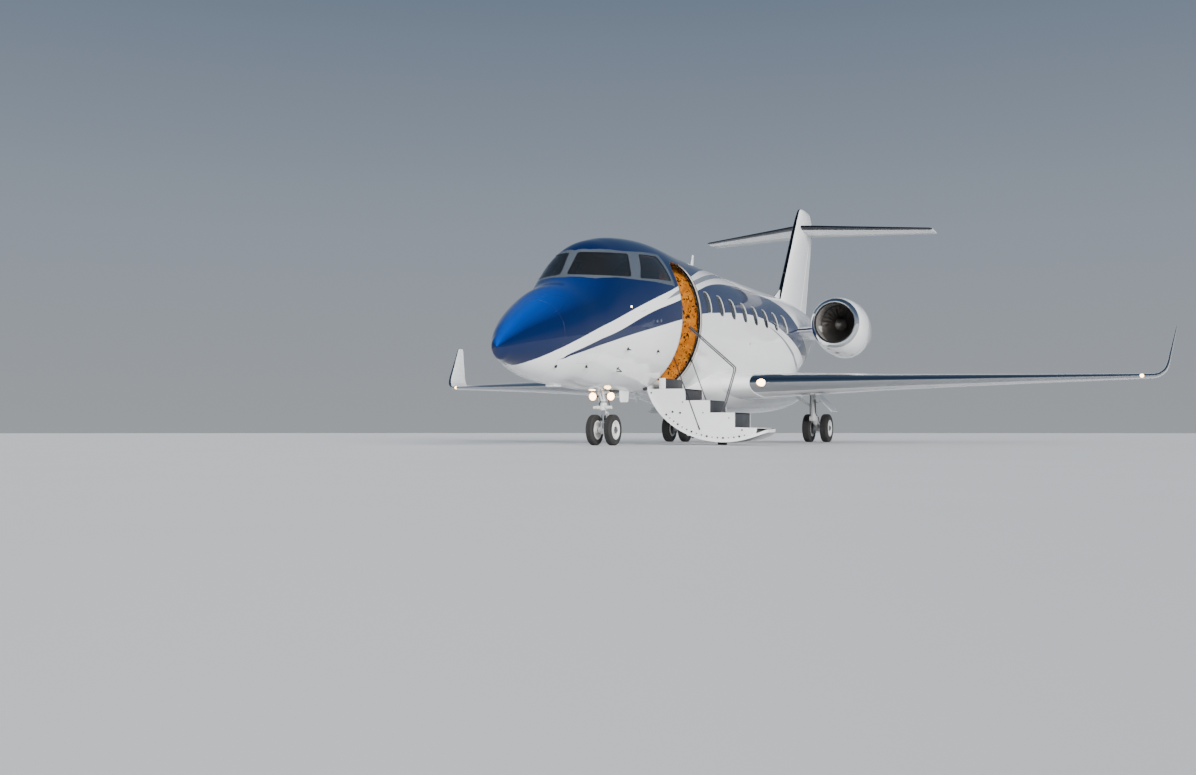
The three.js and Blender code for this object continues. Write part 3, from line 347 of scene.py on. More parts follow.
@dataclass(frozen=True)
class Livery(Finish):
    """The fuselage's paint: blue over white, white and grey stripes, a grey windscreen mask, and a painted
    highlight that turns the blue azure near the nose.

    Each line is given as (station in metres, degrees round the section from the crown).
    """

    blue_low: tuple = ((0.4, 180), (0.55, 172), (0.63, 151), (0.73, 137), (0.86, 126), (1.0, 117.5),
                       (1.2, 109.5), (1.7, 97.5), (2.25, 91), (3.24, 84.6), (4.05, 78.3), (5.02, 69),
                       (6.23, 52.2), (7.35, 36), (8.7, 20), (10.3, 6), (11.2, 0))
    wedge_top: tuple = ((1.24, 126), (1.4, 119), (1.63, 112.4), (2.19, 104), (2.77, 99), (3.72, 89.5),
                        (5.03, 79), (6.24, 65.4), (7.2, 54.7), (8.2, 46.8), (9.2, 42), (10.4, 39.5),
                        (11.6, 40), (12.3, 45), (12.75, 54), (13.1, 66), (13.7, 88), (14.6, 112),
                        (15.6, 136), (16.6, 150))
    wedge_low: tuple = ((1.24, 126.2), (1.5, 119.6), (1.88, 113.3), (2.81, 106), (3.76, 101.4),
                        (4.98, 93.8), (6.12, 85.8), (7.29, 80.1), (8.32, 75.8), (9.4, 73), (10.14, 72.8),
                        (11.31, 77.2), (12.08, 82.8), (12.85, 92), (13.6, 105), (14.6, 124),
                        (15.6, 142), (16.6, 151))
    grey_top: tuple = ((3.5, 87), (5.07, 71.3), (6.28, 55.9), (7.33, 43), (8.73, 27.1), (10.4, 11),
                       (11.8, 0))
    grey_low: tuple = ((3.5, 87.2), (4.2, 81.6), (5.03, 74.6), (6.24, 60.5), (7.2, 49.5), (8.4, 37),
                       (9.6, 27), (11, 17), (12.4, 6), (13, 0))
    swoosh_top: tuple = ((10.5, 78.6), (11.0, 81.2), (11.62, 86.2), (12.14, 92.2), (12.64, 99.3),
                         (13.0, 107), (13.8, 122), (14.8, 140), (15.8, 152))
    swoosh_low: tuple = ((10.5, 78.7), (11.0, 82.4), (11.62, 88.3), (12.14, 95.3), (12.64, 103),
                         (13.0, 111), (13.8, 126), (14.8, 143), (15.8, 152.4))
    mask_low: tuple = ((2.378, 0), (2.42, 18), (2.469, 26.7), (2.65, 43.3), (3.054, 57.4), (3.458, 62.4),
                       (3.805, 64.7), (4.144, 66.2), (4.512, 67.7), (4.846, 68.5), (5.2, 69.2))
    mask_top: tuple = ((2.9, 0), (2.92, 9), (2.965, 16), (3.11, 24), (3.3, 29.6), (3.825, 36.6),
                       (4.378, 38), (4.864, 38.8), (5.2, 39))
    soft: float = 0.0007
    end_soft: float = 0.0001
    rings: tuple = (1.25, 6.3, 9.9, 13.35, 16.9)
    hatches: tuple = ((1.75, 2.2, 0.62, 0.72), (14.1, 14.9, 0.8, 0.93), (6.6, 7.3, 0.82, 0.93))
    joint_half: float = 0.00009
    joint_soft: float = 0.00004

    def line(self, graph: Graph, points: tuple, along: Wire) -> Wire:
        """A line of the livery as a curve of the chart."""
        scaled = [(station / CHART_LENGTH, degrees / 180) for station, degrees in points]
        return graph.curve([(0.0, scaled[0][1]), *scaled, (1.0, scaled[-1][1])], along)

    def shade(self, graph: Graph) -> None:
        """Masks between the lines pick the colour, with a painted highlight on the nose's blue, and skin
        joints and hatch lines on top.
        """
        along, round_it = graph.chart()

        def above(points: tuple) -> Wire:
            return round_it.below(self.line(graph, points, along), self.soft)

        def between(low: tuple, top: tuple, start: float, end: float | None = None) -> Wire:
            band = above(low) * (1 - above(top))
            band = band * (1 - along.below(start / CHART_LENGTH, self.end_soft))
            return band if end is None else band * along.below(end / CHART_LENGTH, self.end_soft)

        blue = above(self.blue_low)
        wedge = between(self.wedge_low, self.wedge_top, 1.24, 16.6)
        grey = between(self.grey_low, self.grey_top, 3.5)
        swoosh = between(self.swoosh_low, self.swoosh_top, 10.5, 15.8)
        mask = between(self.mask_low, self.mask_top, 2.36, 4.93)
        # Painted highlight: the navy is lightened to azure near the nose tip and towards the crown, where
        # lamp light falls on the paint.
        painted_highlight = along.below(0.1, 0.09) * round_it.below(0.2, 0.27)
        blues = graph.blend(painted_highlight, NAVY, PAINTED_HIGHLIGHT_BLUE)
        dirt = graph.noise(1.3, 6.0, 0.5)
        white = graph.blend(dirt, WHITE, darker(WHITE, 0.93))
        colour = graph.blend(grey.math("MAXIMUM", swoosh), white, STRIPE_GREY)
        colour = graph.blend(blue.math("MAXIMUM", wedge), colour, blues)
        colour = graph.blend(mask, colour, MASK_GREY)
        joints = self.joints(along, round_it)
        graph.set(
            Base_Color=graph.blend(joints * 0.6, colour, (0.03, 0.03, 0.035)),
            Roughness=dirt.math("MULTIPLY_ADD", 0.08, 0.1),
            Specular_IOR_Level=0.3,
            Coat_Weight=0.8,
            Coat_Roughness=0.03,
        )
        height = graph.noise(380.0, 2.0) * 0.04 - joints
        graph.bump(height, 0.25, 0.001)

    def joints(self, along: Wire, round_it: Wire) -> Wire:
        """Skin joints and hatch outlines as thin lines."""

        def seam(station: float) -> Wire:
            return along.near(station / CHART_LENGTH, self.joint_half, self.joint_soft)

        def plate(place: tuple[float, float], size: tuple[float, float]) -> Wire:
            return along.near(place[0], size[0], self.joint_soft) * round_it.near(place[1], size[1], 0.0003)

        lines = seam(2.31) * (1 - round_it.below(0.52, 0.0004))
        for station in self.rings:
            lines = lines.math("MAXIMUM", seam(station))
        for start, end, low, high in self.hatches:
            middle, half = (start + end) / 2 / CHART_LENGTH, (end - start) / 2 / CHART_LENGTH
            place, reach = (middle, (low + high) / 2), (high - low) / 2
            outline = plate(place, (half, reach)) - plate(place, (half - 0.0002, reach - 0.0011))
            lines = lines.math("MAXIMUM", outline)
        return lines


@dataclass(frozen=True)
class EdgedPaint(Finish):
    """A wing or tail skin: paint with a polished leading edge, by the share of the chord."""

    colour: Colour = WHITE
    edge: Colour = (0.86, 0.87, 0.88)
    edge_rough: float = 0.06
    width: float = 0.05
    root: float = 0.0

    def shade(self, graph: Graph) -> None:
        """The chart's first coordinate is the share of the chord, the second the span in metres."""
        chord, span = graph.chart()
        bare = chord.below(self.width, 0.0006) * (1 - span.below(self.root, 0.001))
        dirt = graph.noise(1.1, 6.0, 0.7)
        paint = graph.blend(dirt, self.colour, darker(self.colour, 0.9))
        seam = chord.near(self.width, 0.0007, 0.0004).math("MAXIMUM", chord.near(0.62, 0.0007, 0.0004))
        ribs = (span * 1.25).math("FRACT").near(0.5, 0.0022, 0.0012) * (1 - chord.below(0.16, 0.001))
        seam = seam.math("MAXIMUM", ribs * chord.below(0.62, 0.001) * 0.45)
        colour = graph.blend(bare, paint, self.edge)
        graph.set(
            Base_Color=graph.blend(seam * 0.55, colour, (0.04, 0.04, 0.045)),
            Metallic=bare,
            Roughness=(1 - bare) * 0.14 + bare * self.edge_rough + dirt * 0.06,
            Coat_Weight=(1 - bare) * 0.8,
            Coat_Roughness=0.05,
        )
        graph.bump(graph.noise(300.0, 2.0) * 0.05 - seam, 0.2, 0.001)


@dataclass(frozen=True)
class Metal(Finish):
    """Bare or dark metal, with fine scratches along one axis where it is brushed."""

    colour: Colour = (0.78, 0.79, 0.8)
    rough: float = 0.14
    grain: tuple[float, float, float] = (60.0, 60.0, 60.0)
    worn: float = 0.2

    def shade(self, graph: Graph) -> None:
        """Metal whose tone and roughness wander."""
        marks = graph.noise(1.0, 4.0, 0.0, graph.stretched(self.grain))
        graph.set(
            Base_Color=graph.blend(marks, self.colour, darker(self.colour, 1 - self.worn)),
            Metallic=1.0,
            Roughness=marks.math("MULTIPLY_ADD", 0.16, self.rough - 0.03),
        )
        graph.bump(marks, 0.05, 0.0004)


@dataclass(frozen=True)
class Plastic(Finish):
    """Moulded plastic, lining or sealant with a fine grain."""

    colour: Colour = (0.03, 0.03, 0.034)
    rough: float = 0.5
    grain: float = 900.0

    def shade(self, graph: Graph) -> None:
        """A fine pebble grain over an uneven tone."""
        tone = graph.noise(4.0, 4.0)
        graph.set(
            Base_Color=graph.blend(tone, self.colour, darker(self.colour, 0.82)),
            Roughness=tone.math("MULTIPLY_ADD", 0.14, self.rough - 0.05),
        )
        graph.bump(graph.noise(self.grain, 2.0), 0.15, 0.0004)


@dataclass(frozen=True)
class Leather(Finish):
    """Soft leather with a cell grain and creases."""

    colour: Colour = (0.62, 0.5, 0.36)

    def shade(self, graph: Graph) -> None:
        """Cells for the grain and broad noise for the wear."""
        tone = graph.noise(6.0, 5.0, 0.8)
        cells = graph.node("ShaderNodeTexVoronoi", {}, {"Vector": graph.place(), "Scale": 420.0}, "Distance")
        graph.set(
            Base_Color=graph.blend(tone, self.colour, darker(self.colour, 0.7)),
            Roughness=cells.math("MULTIPLY_ADD", 0.25, 0.38),
        )
        graph.bump(cells + tone * 0.5, 0.25, 0.0006)


@dataclass(frozen=True)
class Rubber(Finish):
    """Tyre rubber with broad patches of dust."""

    def shade(self, graph: Graph) -> None:
        """Dust gathers in broad patches."""
        dust = graph.noise(9.0, 6.0, 0.5)
        graph.set(
            Base_Color=graph.ramp(dust, ((0.35, (0.005, 0.005, 0.0055)), (0.75, (0.018, 0.017, 0.016)))),
            Roughness=dust.math("MULTIPLY_ADD", 0.25, 0.6),
            Specular_IOR_Level=0.25,
        )
        graph.bump(graph.noise(260.0, 4.0), 0.2, 0.0008)


@dataclass(frozen=True)
class Burl(Finish):
    """Lacquered orange burl veneer, with dark eyes and winding veins."""

    def shade(self, graph: Graph) -> None:
        """A winding base, knots of dark figure and thin veins, under a clear lacquer."""
        flow = graph.noise(2.2, 5.0, 3.4)
        base = graph.ramp(flow, ((0.25, (0.3, 0.075, 0.006)), (0.5, (0.56, 0.18, 0.015)),
                                 (0.75, (0.74, 0.3, 0.04))))
        knots = graph.noise(1.0, 3.0, 2.6, graph.stretched((11.0, 11.0, 8.0)))
        knots = knots.math("SUBTRACT", 0.565).math("MULTIPLY", 26.0, clamp=True)
        wander = graph.noise(1.0, 4.0, 2.2, graph.stretched((6.0, 6.0, 9.0)))
        veins = (wander - 0.5).math("ABSOLUTE").below(0.012, 0.01)
        streaks = graph.noise(26.0, 4.0, 2.0)
        figure = knots.math("MAXIMUM", veins * (streaks * 2.4 - 0.7).clamped())
        wood = graph.blend(streaks * 0.35, base, (0.42, 0.12, 0.01))
        graph.set(
            Base_Color=graph.blend(figure, wood, (0.02, 0.008, 0.004)),
            Roughness=streaks.math("MULTIPLY_ADD", 0.1, 0.22),
            Coat_Weight=1.0,
            Coat_Roughness=0.04,
        )
        graph.bump(figure + streaks * 0.3, 0.06, 0.0005)


@dataclass(frozen=True)
class Glazing(Finish):
    """Tinted glass that shows the inside through its reflections."""

    tint: Colour = (0.02, 0.028, 0.035)
    clear: float = 0.42

    def shade(self, graph: Graph) -> None:
        """Smooth glass, with smears that change its sheen."""
        smear = graph.noise(3.0, 4.0, 0.6)
        graph.set(
            Base_Color=self.tint + (1.0,),
            Roughness=smear * 0.04,
            Alpha=smear.math("MULTIPLY_ADD", 0.06, 1 - self.clear),
            Coat_Weight=1.0,
            Coat_Roughness=0.01,
        )


@dataclass(frozen=True)
class Glow(Finish):
    """A lit lens or screen."""

    colour: Colour = (1.0, 0.85, 0.6)
    strength: float = 30.0

    def shade(self, graph: Graph) -> None:
        """Light that varies a little over the lens."""
        cells = graph.noise(60.0, 2.0)
        graph.set(
            Base_Color=(0.9, 0.9, 0.9, 1.0),
            Emission_Color=graph.blend(cells, self.colour, darker(self.colour, 0.8)),
            Emission_Strength=self.strength,
            Roughness=cells * 0.2,
        )


WHITE_PAINT = GlossPaint("gloss_white")
LIVERY = Livery("fuselage_livery")
BRUSHED = Metal("brushed_metal", (0.62, 0.63, 0.65), 0.3, (12.0, 12.0, 400.0))
STEEL = Metal("dark_steel", (0.12, 0.125, 0.135), 0.36)
CHROME = Metal("chrome", (0.9, 0.9, 0.91), 0.05, (30.0, 30.0, 30.0), 0.06)
LINING = Plastic("cream_lining", (0.6, 0.57, 0.5), 0.45)
BEZEL = Plastic("window_bezel", (0.42, 0.43, 0.44), 0.35)
WELL = Plastic("wheel_well", (0.42, 0.43, 0.4), 0.5, 300.0)
SEAL = Plastic("window_seal", (0.012, 0.012, 0.014), 0.6)
BLACK = Plastic("black_plastic")
WINDSCREEN = Glazing("windscreen", (0.008, 0.01, 0.012), 0.34)
CABIN_GLASS = Glazing("cabin_glass", (0.012, 0.014, 0.016), 0.4)
RUBBER = Rubber("tyre_rubber")
BURL = Burl("burl_veneer")
HIDE = Leather("seat_leather")
COCKPIT_HIDE = Leather("pilot_leather", (0.3, 0.27, 0.24))
CARPET = Plastic("carpet", (0.3, 0.27, 0.23), 0.95, 240.0)


# Solids


class Solid:
    """A closed mesh in the making."""

    def __init__(self, mesh: bpy.types.Mesh) -> None:
        """Wraps a mesh.

        Args:
            mesh: The closed mesh.
        """
        self.mesh = mesh

    @classmethod
    def of(cls, bm: bmesh.types.BMesh) -> "Solid":
        """The solid of a bmesh, with its faces turned outwards."""
        bmesh.ops.recalc_face_normals(bm, faces=bm.faces)
        mesh = bpy.data.meshes.new("solid")
        bm.to_mesh(mesh)
        bm.free()
        return cls(mesh)

    @classmethod
    def sweep(
        cls,
        rings: Sequence[Ring],
        charts: Sequence[Chart] | None = None,
        looped: bool = False,
    ) -> "Solid":
        """A skin through rings of equally many points.

        Args:
            rings: The rings, in order.
            charts: The chart coordinates of each ring's points.
            looped: Whether the last ring joins the first, in place of two end caps.

        Returns:
            The closed solid.
        """
        bm = bmesh.new()
        row = bmesh.ops.create_circle(bm, cap_ends=False, segments=len(rings[0]), radius=1.0)["verts"]
        place = {vert: (0, j) for j, vert in enumerate(row)}
        for vert, (_, j) in place.items():
            vert.co = rings[0][j]
        edges = list(bm.edges)
        for i, ring in enumerate(rings[1:], 1):
            grown = bmesh.ops.extrude_edge_only(bm, edges=edges)["geom"]
            edges = [part for part in grown if isinstance(part, bmesh.types.BMEdge)]
            for vert in [part for part in grown if isinstance(part, bmesh.types.BMVert)]:
                others = (edge.other_vert(vert) for edge in vert.link_edges)
                j = next(place[o][1] for o in others if o in place and place[o][0] == i - 1)
                place[vert] = (i, j)
                vert.co = ring[j]
        if charts:
            layer = bm.loops.layers.uv.new("chart")
            for face in bm.faces:
                for loop in face.loops:
                    i, j = place[loop.vert]
                    loop[layer].uv = charts[i][j]
        if looped:
            bmesh.ops.remove_doubles(bm, verts=bm.verts, dist=1e-6)
        else:
            bmesh.ops.holes_fill(bm, edges=[edge for edge in bm.edges if edge.is_boundary], sides=0)
        return cls.of(bm)

    @classmethod
    def lathe(
        cls,
        profile: Sequence[tuple[float, float]],
        base: Vector,
        axis: Vector,
        steps: int = 64,
    ) -> "Solid":
        """A turned solid.

        Args:
            profile: (radius, distance along the axis) points, closed or with its ends on the axis.
            base: Where the axis starts.
            axis: Its direction.
            steps: How many parts a full turn has.

        Returns:
            The closed solid.
        """
        bm = bmesh.new()
        points = [bm.verts.new((radius, 0.0, along)) for radius, along in profile]
        pairs = list(zip(points, points[1:]))
        if min(profile[0][0], profile[-1][0]) > 1e-6:
            pairs.append((points[-1], points[0]))
        lines = [bm.edges.new(pair) for pair in pairs]
        bmesh.ops.spin(bm, geom=points + lines, cent=(0, 0, 0), axis=(0, 0, 1), dvec=(0, 0, 0),
                       angle=math.tau, steps=steps, use_merge=True, use_duplicate=False)
        bmesh.ops.remove_doubles(bm, verts=bm.verts, dist=1e-6)
        turn = axis.to_track_quat("Z", "Y").to_matrix().to_4x4()
        bmesh.ops.transform(bm, matrix=Matrix.Translation(base) @ turn, verts=bm.verts)
        return cls.of(bm)

    @classmethod
    def box(cls, low: Vector, high: Vector, bevel: float = 0.0, segments: int = 2) -> "Solid":
        """A box between two corners, with rounded edges."""
        bm = bmesh.new()
        size = high - low
        place = Matrix.Translation((low + high) / 2) @ Matrix.Diagonal((*size, 1.0))
        bmesh.ops.create_cube(bm, size=1.0, matrix=place)
        if bevel:
            bmesh.ops.bevel(bm, geom=list(bm.edges), offset=bevel, segments=segments, profile=0.5,
                            affect="EDGES", material=-1)
        return cls.of(bm)

    @classmethod
    def rod(cls, start: Vector, end: Vector, radius: float, end_radius: float | None = None,
            bevel: float = 0.0, segments: int = 28) -> "Solid":
        """A round bar or cone between two points."""
        bm = bmesh.new()
        along = end - start
        turn = along.to_track_quat("Z", "Y").to_matrix().to_4x4()
        bmesh.ops.create_cone(bm, cap_ends=True, cap_tris=False, segments=segments, radius1=radius,
                              radius2=radius if end_radius is None else end_radius, depth=along.length,
                              matrix=Matrix.Translation((start + end) / 2) @ turn)
        if bevel:
            rims = [edge for face in bm.faces if len(face.verts) == segments for edge in face.edges]
            bmesh.ops.bevel(bm, geom=rims, offset=bevel, segments=2, profile=0.5, affect="EDGES", material=-1)
        return cls.of(bm)

    @classmethod
    def pin(cls, middle: Vector, reach: Vector, radius: float, *more: float, **named: float) -> "Solid":
        """A round bar that reaches equally far both ways."""
        return cls.rod(middle - reach, middle + reach, radius, *more, **named)

    @classmethod
    def tube(cls, path: Sequence[Vector], radius: float, steps: int = 6, segments: int = 12) -> "Solid":
        """A round tube along a smooth path through points."""
        points = [Vector(row) for row in catmull([tuple(p) for p in path], steps)]
        rings = []
        side = UP
        for k, point in enumerate(points):
            ahead = points[min(k + 1, len(points) - 1)] - points[max(k - 1, 0)]
            ahead.normalize()
            side = side - ahead * side.dot(ahead)
            if side.length < 1e-3:
                side = ahead.orthogonal()
            side.normalize()
            other = ahead.cross(side)
            rings.append([
                point + (side * math.cos(turn) + other * math.sin(turn)) * radius
                for turn in turns(segments)
            ])
        return cls.sweep(rings)

    @classmethod
    def slab(cls, outline: Ring, reach: Vector) -> "Solid":
        """An outline pushed both ways along a direction."""
        return cls.sweep([[p - reach for p in outline], [p + reach for p in outline]])

    @classmethod
    def joined(cls, parts: Iterable["Solid"]) -> "Solid":
        """Several solids in one mesh, with no Boolean."""
        bm = bmesh.new()
        for part in parts:
            bm.from_mesh(part.mesh)
        mesh = bpy.data.meshes.new("solid")
        bm.to_mesh(mesh)
        bm.free()
        return cls(mesh)

    def carve(self, tool: "Solid", cut: Cut = Cut.AWAY) -> "Solid":
        """This solid after a Boolean with a tool."""
        target = bpy.data.objects.new("target", self.mesh)
        other = bpy.data.objects.new("tool", tool.mesh)
        for made in (target, other):
            bpy.context.scene.collection.objects.link(made)
        change = target.modifiers.new("carve", "BOOLEAN")
        change.object = other
        change.operation = cut.value
        change.solver = "EXACT"
        graph = bpy.context.evaluated_depsgraph_get()
        mesh = bpy.data.meshes.new_from_object(target.evaluated_get(graph), depsgraph=graph)
        for made in (target, other):
            bpy.data.objects.remove(made)
        return Solid(mesh)

    def without(self, *tools: "Solid") -> "Solid":
        """This solid less some others."""
        out = self
        for tool in tools:
            out = out.carve(tool)
        return out

    def within(self, tool: "Solid") -> "Solid":
        """What this solid shares with another."""
        return self.carve(tool, Cut.KEEP)

    def moved(self, matrix: Matrix) -> "Solid":
        """A copy in another place, turned right side out if the matrix mirrors it."""
        mesh = self.mesh.copy()
        mesh.transform(matrix)
        if matrix.determinant() < 0:
            mesh.flip_normals()
        return Solid(mesh)

    def mirrored(self) -> "Solid":
        """A copy on the other side of the aircraft."""
        return self.moved(Matrix.Diagonal((-1.0, 1.0, 1.0, 1.0)))

    def on(self, side: Side) -> "Solid":
        """A copy on a side, for a shape drawn to port."""
        return self.moved(Matrix.Identity(4)) if side is Side.PORT else self.mirrored()


def show(
    solid: Solid,
    name: str,
    finish: Finish | Sequence[Finish],
    body: str,
    replaces: Sequence[str] = (),
    sharp: float = 32.0,
    pick: Callable[[bpy.types.MeshPolygon], int] | None = None,
) -> bpy.types.Object:
    """Makes a solid one piece of the scene.

    Args:
        solid: The shape.
        name: The piece's name.
        finish: Its finish, or several where pick chooses among them.
        body: The body it rides on.
        replaces: The CAD nodes it stands for.
        sharp: The angle in degrees past which an edge stays sharp.
        pick: Gives the number of the finish for a polygon.

    Returns:
        The piece.
    """
    piece = bpy.data.objects.new(name, solid.mesh)
    bpy.context.scene.collection.objects.link(piece)
    mesh = piece.data
    mesh.materials.clear()
    finishes = [finish] if isinstance(finish, Finish) else list(finish)
    for each in finishes:
        mesh.materials.append(each.material())
    for polygon in mesh.polygons:
        polygon.use_smooth = True
        polygon.material_index = pick(polygon) if pick else 0
    mesh.set_sharp_from_angle(angle=math.radians(sharp))
    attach(piece, body)
    if replaces:
        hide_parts(*replaces)
    LOG.info("%s: %d faces", name, len(mesh.polygons))
    return piece


def show_pair(solid: Solid, name: str, finish: Finish, body: str, node: str = "") -> None:
    """Makes a solid drawn to port two pieces, one a side.

    Args:
        solid: The shape on the port side.
        name: The pieces' name, with {} for the side.
        finish: Their finish.
        body: The body they ride on, with {} for the side where each has its own.
        node: The CAD node that each stands for, with {} for the side.
    """
    for side in Side:
        end = side.label
        replaces = (node.format(end),) if node else ()
        show(solid.on(side), name.format(end), finish, body.format(end), replaces)


# Fuselage


@dataclass(frozen=True)
class Section:
    """One cross-section of the hull: an ellipse quarter above and below its widest height."""

    top: float
    bottom: float
    widest: float
    half: float


@dataclass(frozen=True)
class Hull:
    """The outer surface of the fuselage, as rows of station, top, bottom, widest height and half width."""

    rows: tuple = (
        (0.15, 1.56, 1.53, 1.545, 0.02), (0.2, 1.671, 1.393, 1.562, 0.117),
        (0.33, 1.789, 1.342, 1.598, 0.197), (0.6, 2.012, 1.272, 1.668, 0.348),
        (1.1, 2.308, 1.146, 1.782, 0.573), (1.7, 2.613, 1.051, 1.9, 0.742),
        (2.36, 2.87, 1.026, 2.035, 0.83), (2.98, 3.475, 0.985, 2.17, 0.915),
        (3.6, 3.704, 0.98, 2.29, 1.015), (4.4, 3.838, 0.98, 2.38, 1.12), (5.3, 3.888, 0.98, 2.42, 1.172),
        (6.5, 3.83, 0.98, 2.42, 1.18), (8.5, 3.78, 0.98, 2.4, 1.18), (12.5, 3.74, 1.0, 2.38, 1.18),
        (13.6, 3.74, 1.2, 2.45, 1.15), (15.0, 3.71, 1.68, 2.62, 1.0), (16.5, 3.61, 2.24, 2.85, 0.72),
        (17.8, 3.47, 2.7, 3.03, 0.42), (18.7, 3.31, 2.98, 3.12, 0.16),
    )
    around: int = 120
    step: float = 0.12
    tip_step: float = 0.008
    tip_growth: float = 0.16
    least_share: float = 0.3
    small: float = 0.002
    skin_depth: float = 0.008
    facing: float = 0.94

    def section(self, station: float) -> Section:
        """The section at a station, smoothly between the rows."""
        rows = self.rows
        k = max(0, min(len(rows) - 2, sum(row[0] <= station for row in rows) - 1))
        a, b = rows[k], rows[k + 1]
        span = b[0] - a[0]
        t = max(0.0, min(1.0, (station - a[0]) / span))

        def slope(i: int, key: int) -> float:
            before, after = rows[max(i - 1, 0)], rows[min(i + 1, len(rows) - 1)]
            return (after[key] - before[key]) / (after[0] - before[0])

        def value(key: int) -> float:
            start = (2 * t ** 3 - 3 * t ** 2 + 1) * a[key] + (t ** 3 - 2 * t ** 2 + t) * span * slope(k, key)
            return start + (3 * t ** 2 - 2 * t ** 3) * b[key] + (t ** 3 - t ** 2) * span * slope(k + 1, key)

        return Section(value(1), value(2), value(3), value(4))

    def point(self, station: float, turn: float, inset: float = 0.0) -> Vector:
        """The point at a station and an angle from the crown towards port, some way under the skin."""
        section = self.section(station)
        above, below = section.top - section.widest, section.widest - section.bottom
        across, up = egg(turn, section.half - inset, above - inset, below - inset)
        return at(across, station, section.widest + up)

    def turn_of(self, co: Vector) -> tuple[float, float]:
        """The angle from the crown of a point, and how far out it is, 1 on the skin."""
        section = self.section(co.y + DATUM)
        rise = co.z - section.widest
        reach = section.top - section.widest if rise > 0 else section.widest - section.bottom
        across, up = co.x / section.half, rise / reach
        return math.atan2(across, up), math.hypot(across, up)

    def normal(self, co: Vector) -> Vector:
        """The skin's outward direction next to a point."""
        turn, _ = self.turn_of(co)
        small = self.small
        station = max(self.rows[0][0] + small, min(self.rows[-1][0] - small, co.y + DATUM))
        round_it = self.point(station, turn + small) - self.point(station, turn - small)
        along = self.point(station + small, turn) - self.point(station - small, turn)
        return round_it.cross(along).normalized()

    def stations(self, start: float, end: float, step: float | None = None) -> list[float]:
        """Stations from start to end, close together near the nose tip."""
        out, here = [start], start
        widest = step or self.step
        while here < end - 1e-6:
            grown = self.tip_growth * (here - self.rows[0][0]) + self.tip_step
            here = min(end, here + min(widest, grown))
            if end - here < self.least_share * widest:
                here = end
            out.append(here)
        return out

    def body(
        self,
        start: float,
        end: float,
        inset: float = 0.0,
        floor: float | None = None,
        around: int | None = None,
        step: float | None = None,
    ) -> Solid:
        """A closed stretch of the hull.

        Args:
            start: The first station.
            end: The last station.
            inset: How far under the skin.
            floor: A height below which the shape is cut flat.
            around: How many points a ring has.
            step: The distance between rings.

        Returns:
            The solid, with the livery's chart on it.
        """
        count = around or self.around
        rings, charts = [], []
        for station in self.stations(start, end, step):
            ring = [self.point(station, turn, inset) for turn in turns(count)]
            if floor is not None:
                ring = [Vector((p.x, p.y, max(p.z, floor))) for p in ring]
            rings.append(ring)
            charts.append([(station / CHART_LENGTH, min(turn, math.tau - turn) / math.pi)
                           for turn in turns(count)])
        return Solid.sweep(rings, charts)

    def band(self, start: float, end: float, outer: float, inner: float, step: float = 0.06) -> Solid:
        """A skin between two depths, such as glass or a frame."""
        skin = self.body(start, end, outer, step=step)
        return skin.without(self.body(start - 0.05, end + 0.05, inner, step=step))

    def dress(self, piece: bpy.types.Object) -> None:
        """Gives a piece's outer faces the exact normals of the skin, so that its gloss runs unbroken."""
        mesh = piece.data
        normals = []
        for polygon in mesh.polygons:
            for index in polygon.vertices:
                true = self.normal(mesh.vertices[index].co)
                normals.append(true if true.dot(polygon.normal) > self.facing else polygon.normal)
        mesh.normals_split_custom_set(normals)

    def outside(self, polygon: bpy.types.MeshPolygon) -> bool:
        """Whether a polygon lies on the skin."""
        return abs(self.turn_of(polygon.center)[1] - 1.0) < self.skin_depth


HULL = Hull()


def rounded(corners: Sequence[Vector], radius: float, steps: int = 6) -> Ring:
    """An outline with its corners rounded."""
    ring = []
    for k, corner in enumerate(corners):
        before, after = corners[k - 1], corners[(k + 1) % len(corners)]
        start = corner + (before - corner).normalized() * radius
        end = corner + (after - corner).normalized() * radius
        for i in range(steps + 1):
            t = i / steps
            ring.append(start * (1 - t) ** 2 + corner * 2 * t * (1 - t) + end * t * t)
    return ring


@dataclass(frozen=True)
class Pane:
    """A cockpit pane on the port side: its corners, and the direction it is cut along."""

    name: str
    corners: tuple
    aim: tuple
    corner: float = 0.055
    reach: float = 0.32

    def hole(self, inset: float = 0.0) -> Solid:
        """The pane's outline as a cutter, drawn in by an inset."""
        points = [at(*corner) for corner in self.corners]
        middle = sum(points, Vector()) / len(points)
        ring = [p + (middle - p).normalized() * inset for p in rounded(points, self.corner)]
        return Solid.slab(ring, Vector(self.aim).normalized() * self.reach)


@dataclass
class Doorway:
    """The opening for the airstair, drawn on the closed fuselage."""

    start: float = 5.1
    end: float = 6.1
    hinge: tuple[float, float] = (0.42, 1.06)
    top: float = 3.47
    sill: float = 0.29
    corner: float = 0.3
    open_degrees: float = 100.2

    def outline(self, clear: float) -> list[tuple[float, float]]:
        """Station and height pairs round the door, drawn in by a clearance."""
        start, end = self.start + clear, self.end - clear
        low, top = self.hinge[1] + clear, self.top - clear
        arc = [math.pi / 2 * k / 10 for k in range(11)]
        trims = [(self.corner * (1 - math.cos(t)), self.corner * (1 - math.sin(t))) for t in arc]
        aft = [(end - along, top - down) for along, down in trims]
        fore = [(start + along, top - down) for along, down in trims]
        return [(start, low), (end, low), *aft, *reversed(fore)]

    def prism(self, clear: float, inner: float | None = None) -> Solid:
        """The door's outline pushed out to port from near the keel line."""
        start = self.sill + clear if inner is None else inner
        ring = self.outline(clear)
        return Solid.sweep([[at(x, station, z) for station, z in ring] for x in (start, 2.0)])

    def opening(self) -> Matrix:
        """The turn that carries what is drawn closed to its open place."""
        hinge = at(self.hinge[0], 0.0, self.hinge[1])
        turn = Matrix.Rotation(math.radians(self.open_degrees), 4, "Y")
        return Matrix.Translation(hinge) @ turn @ Matrix.Translation(-hinge)


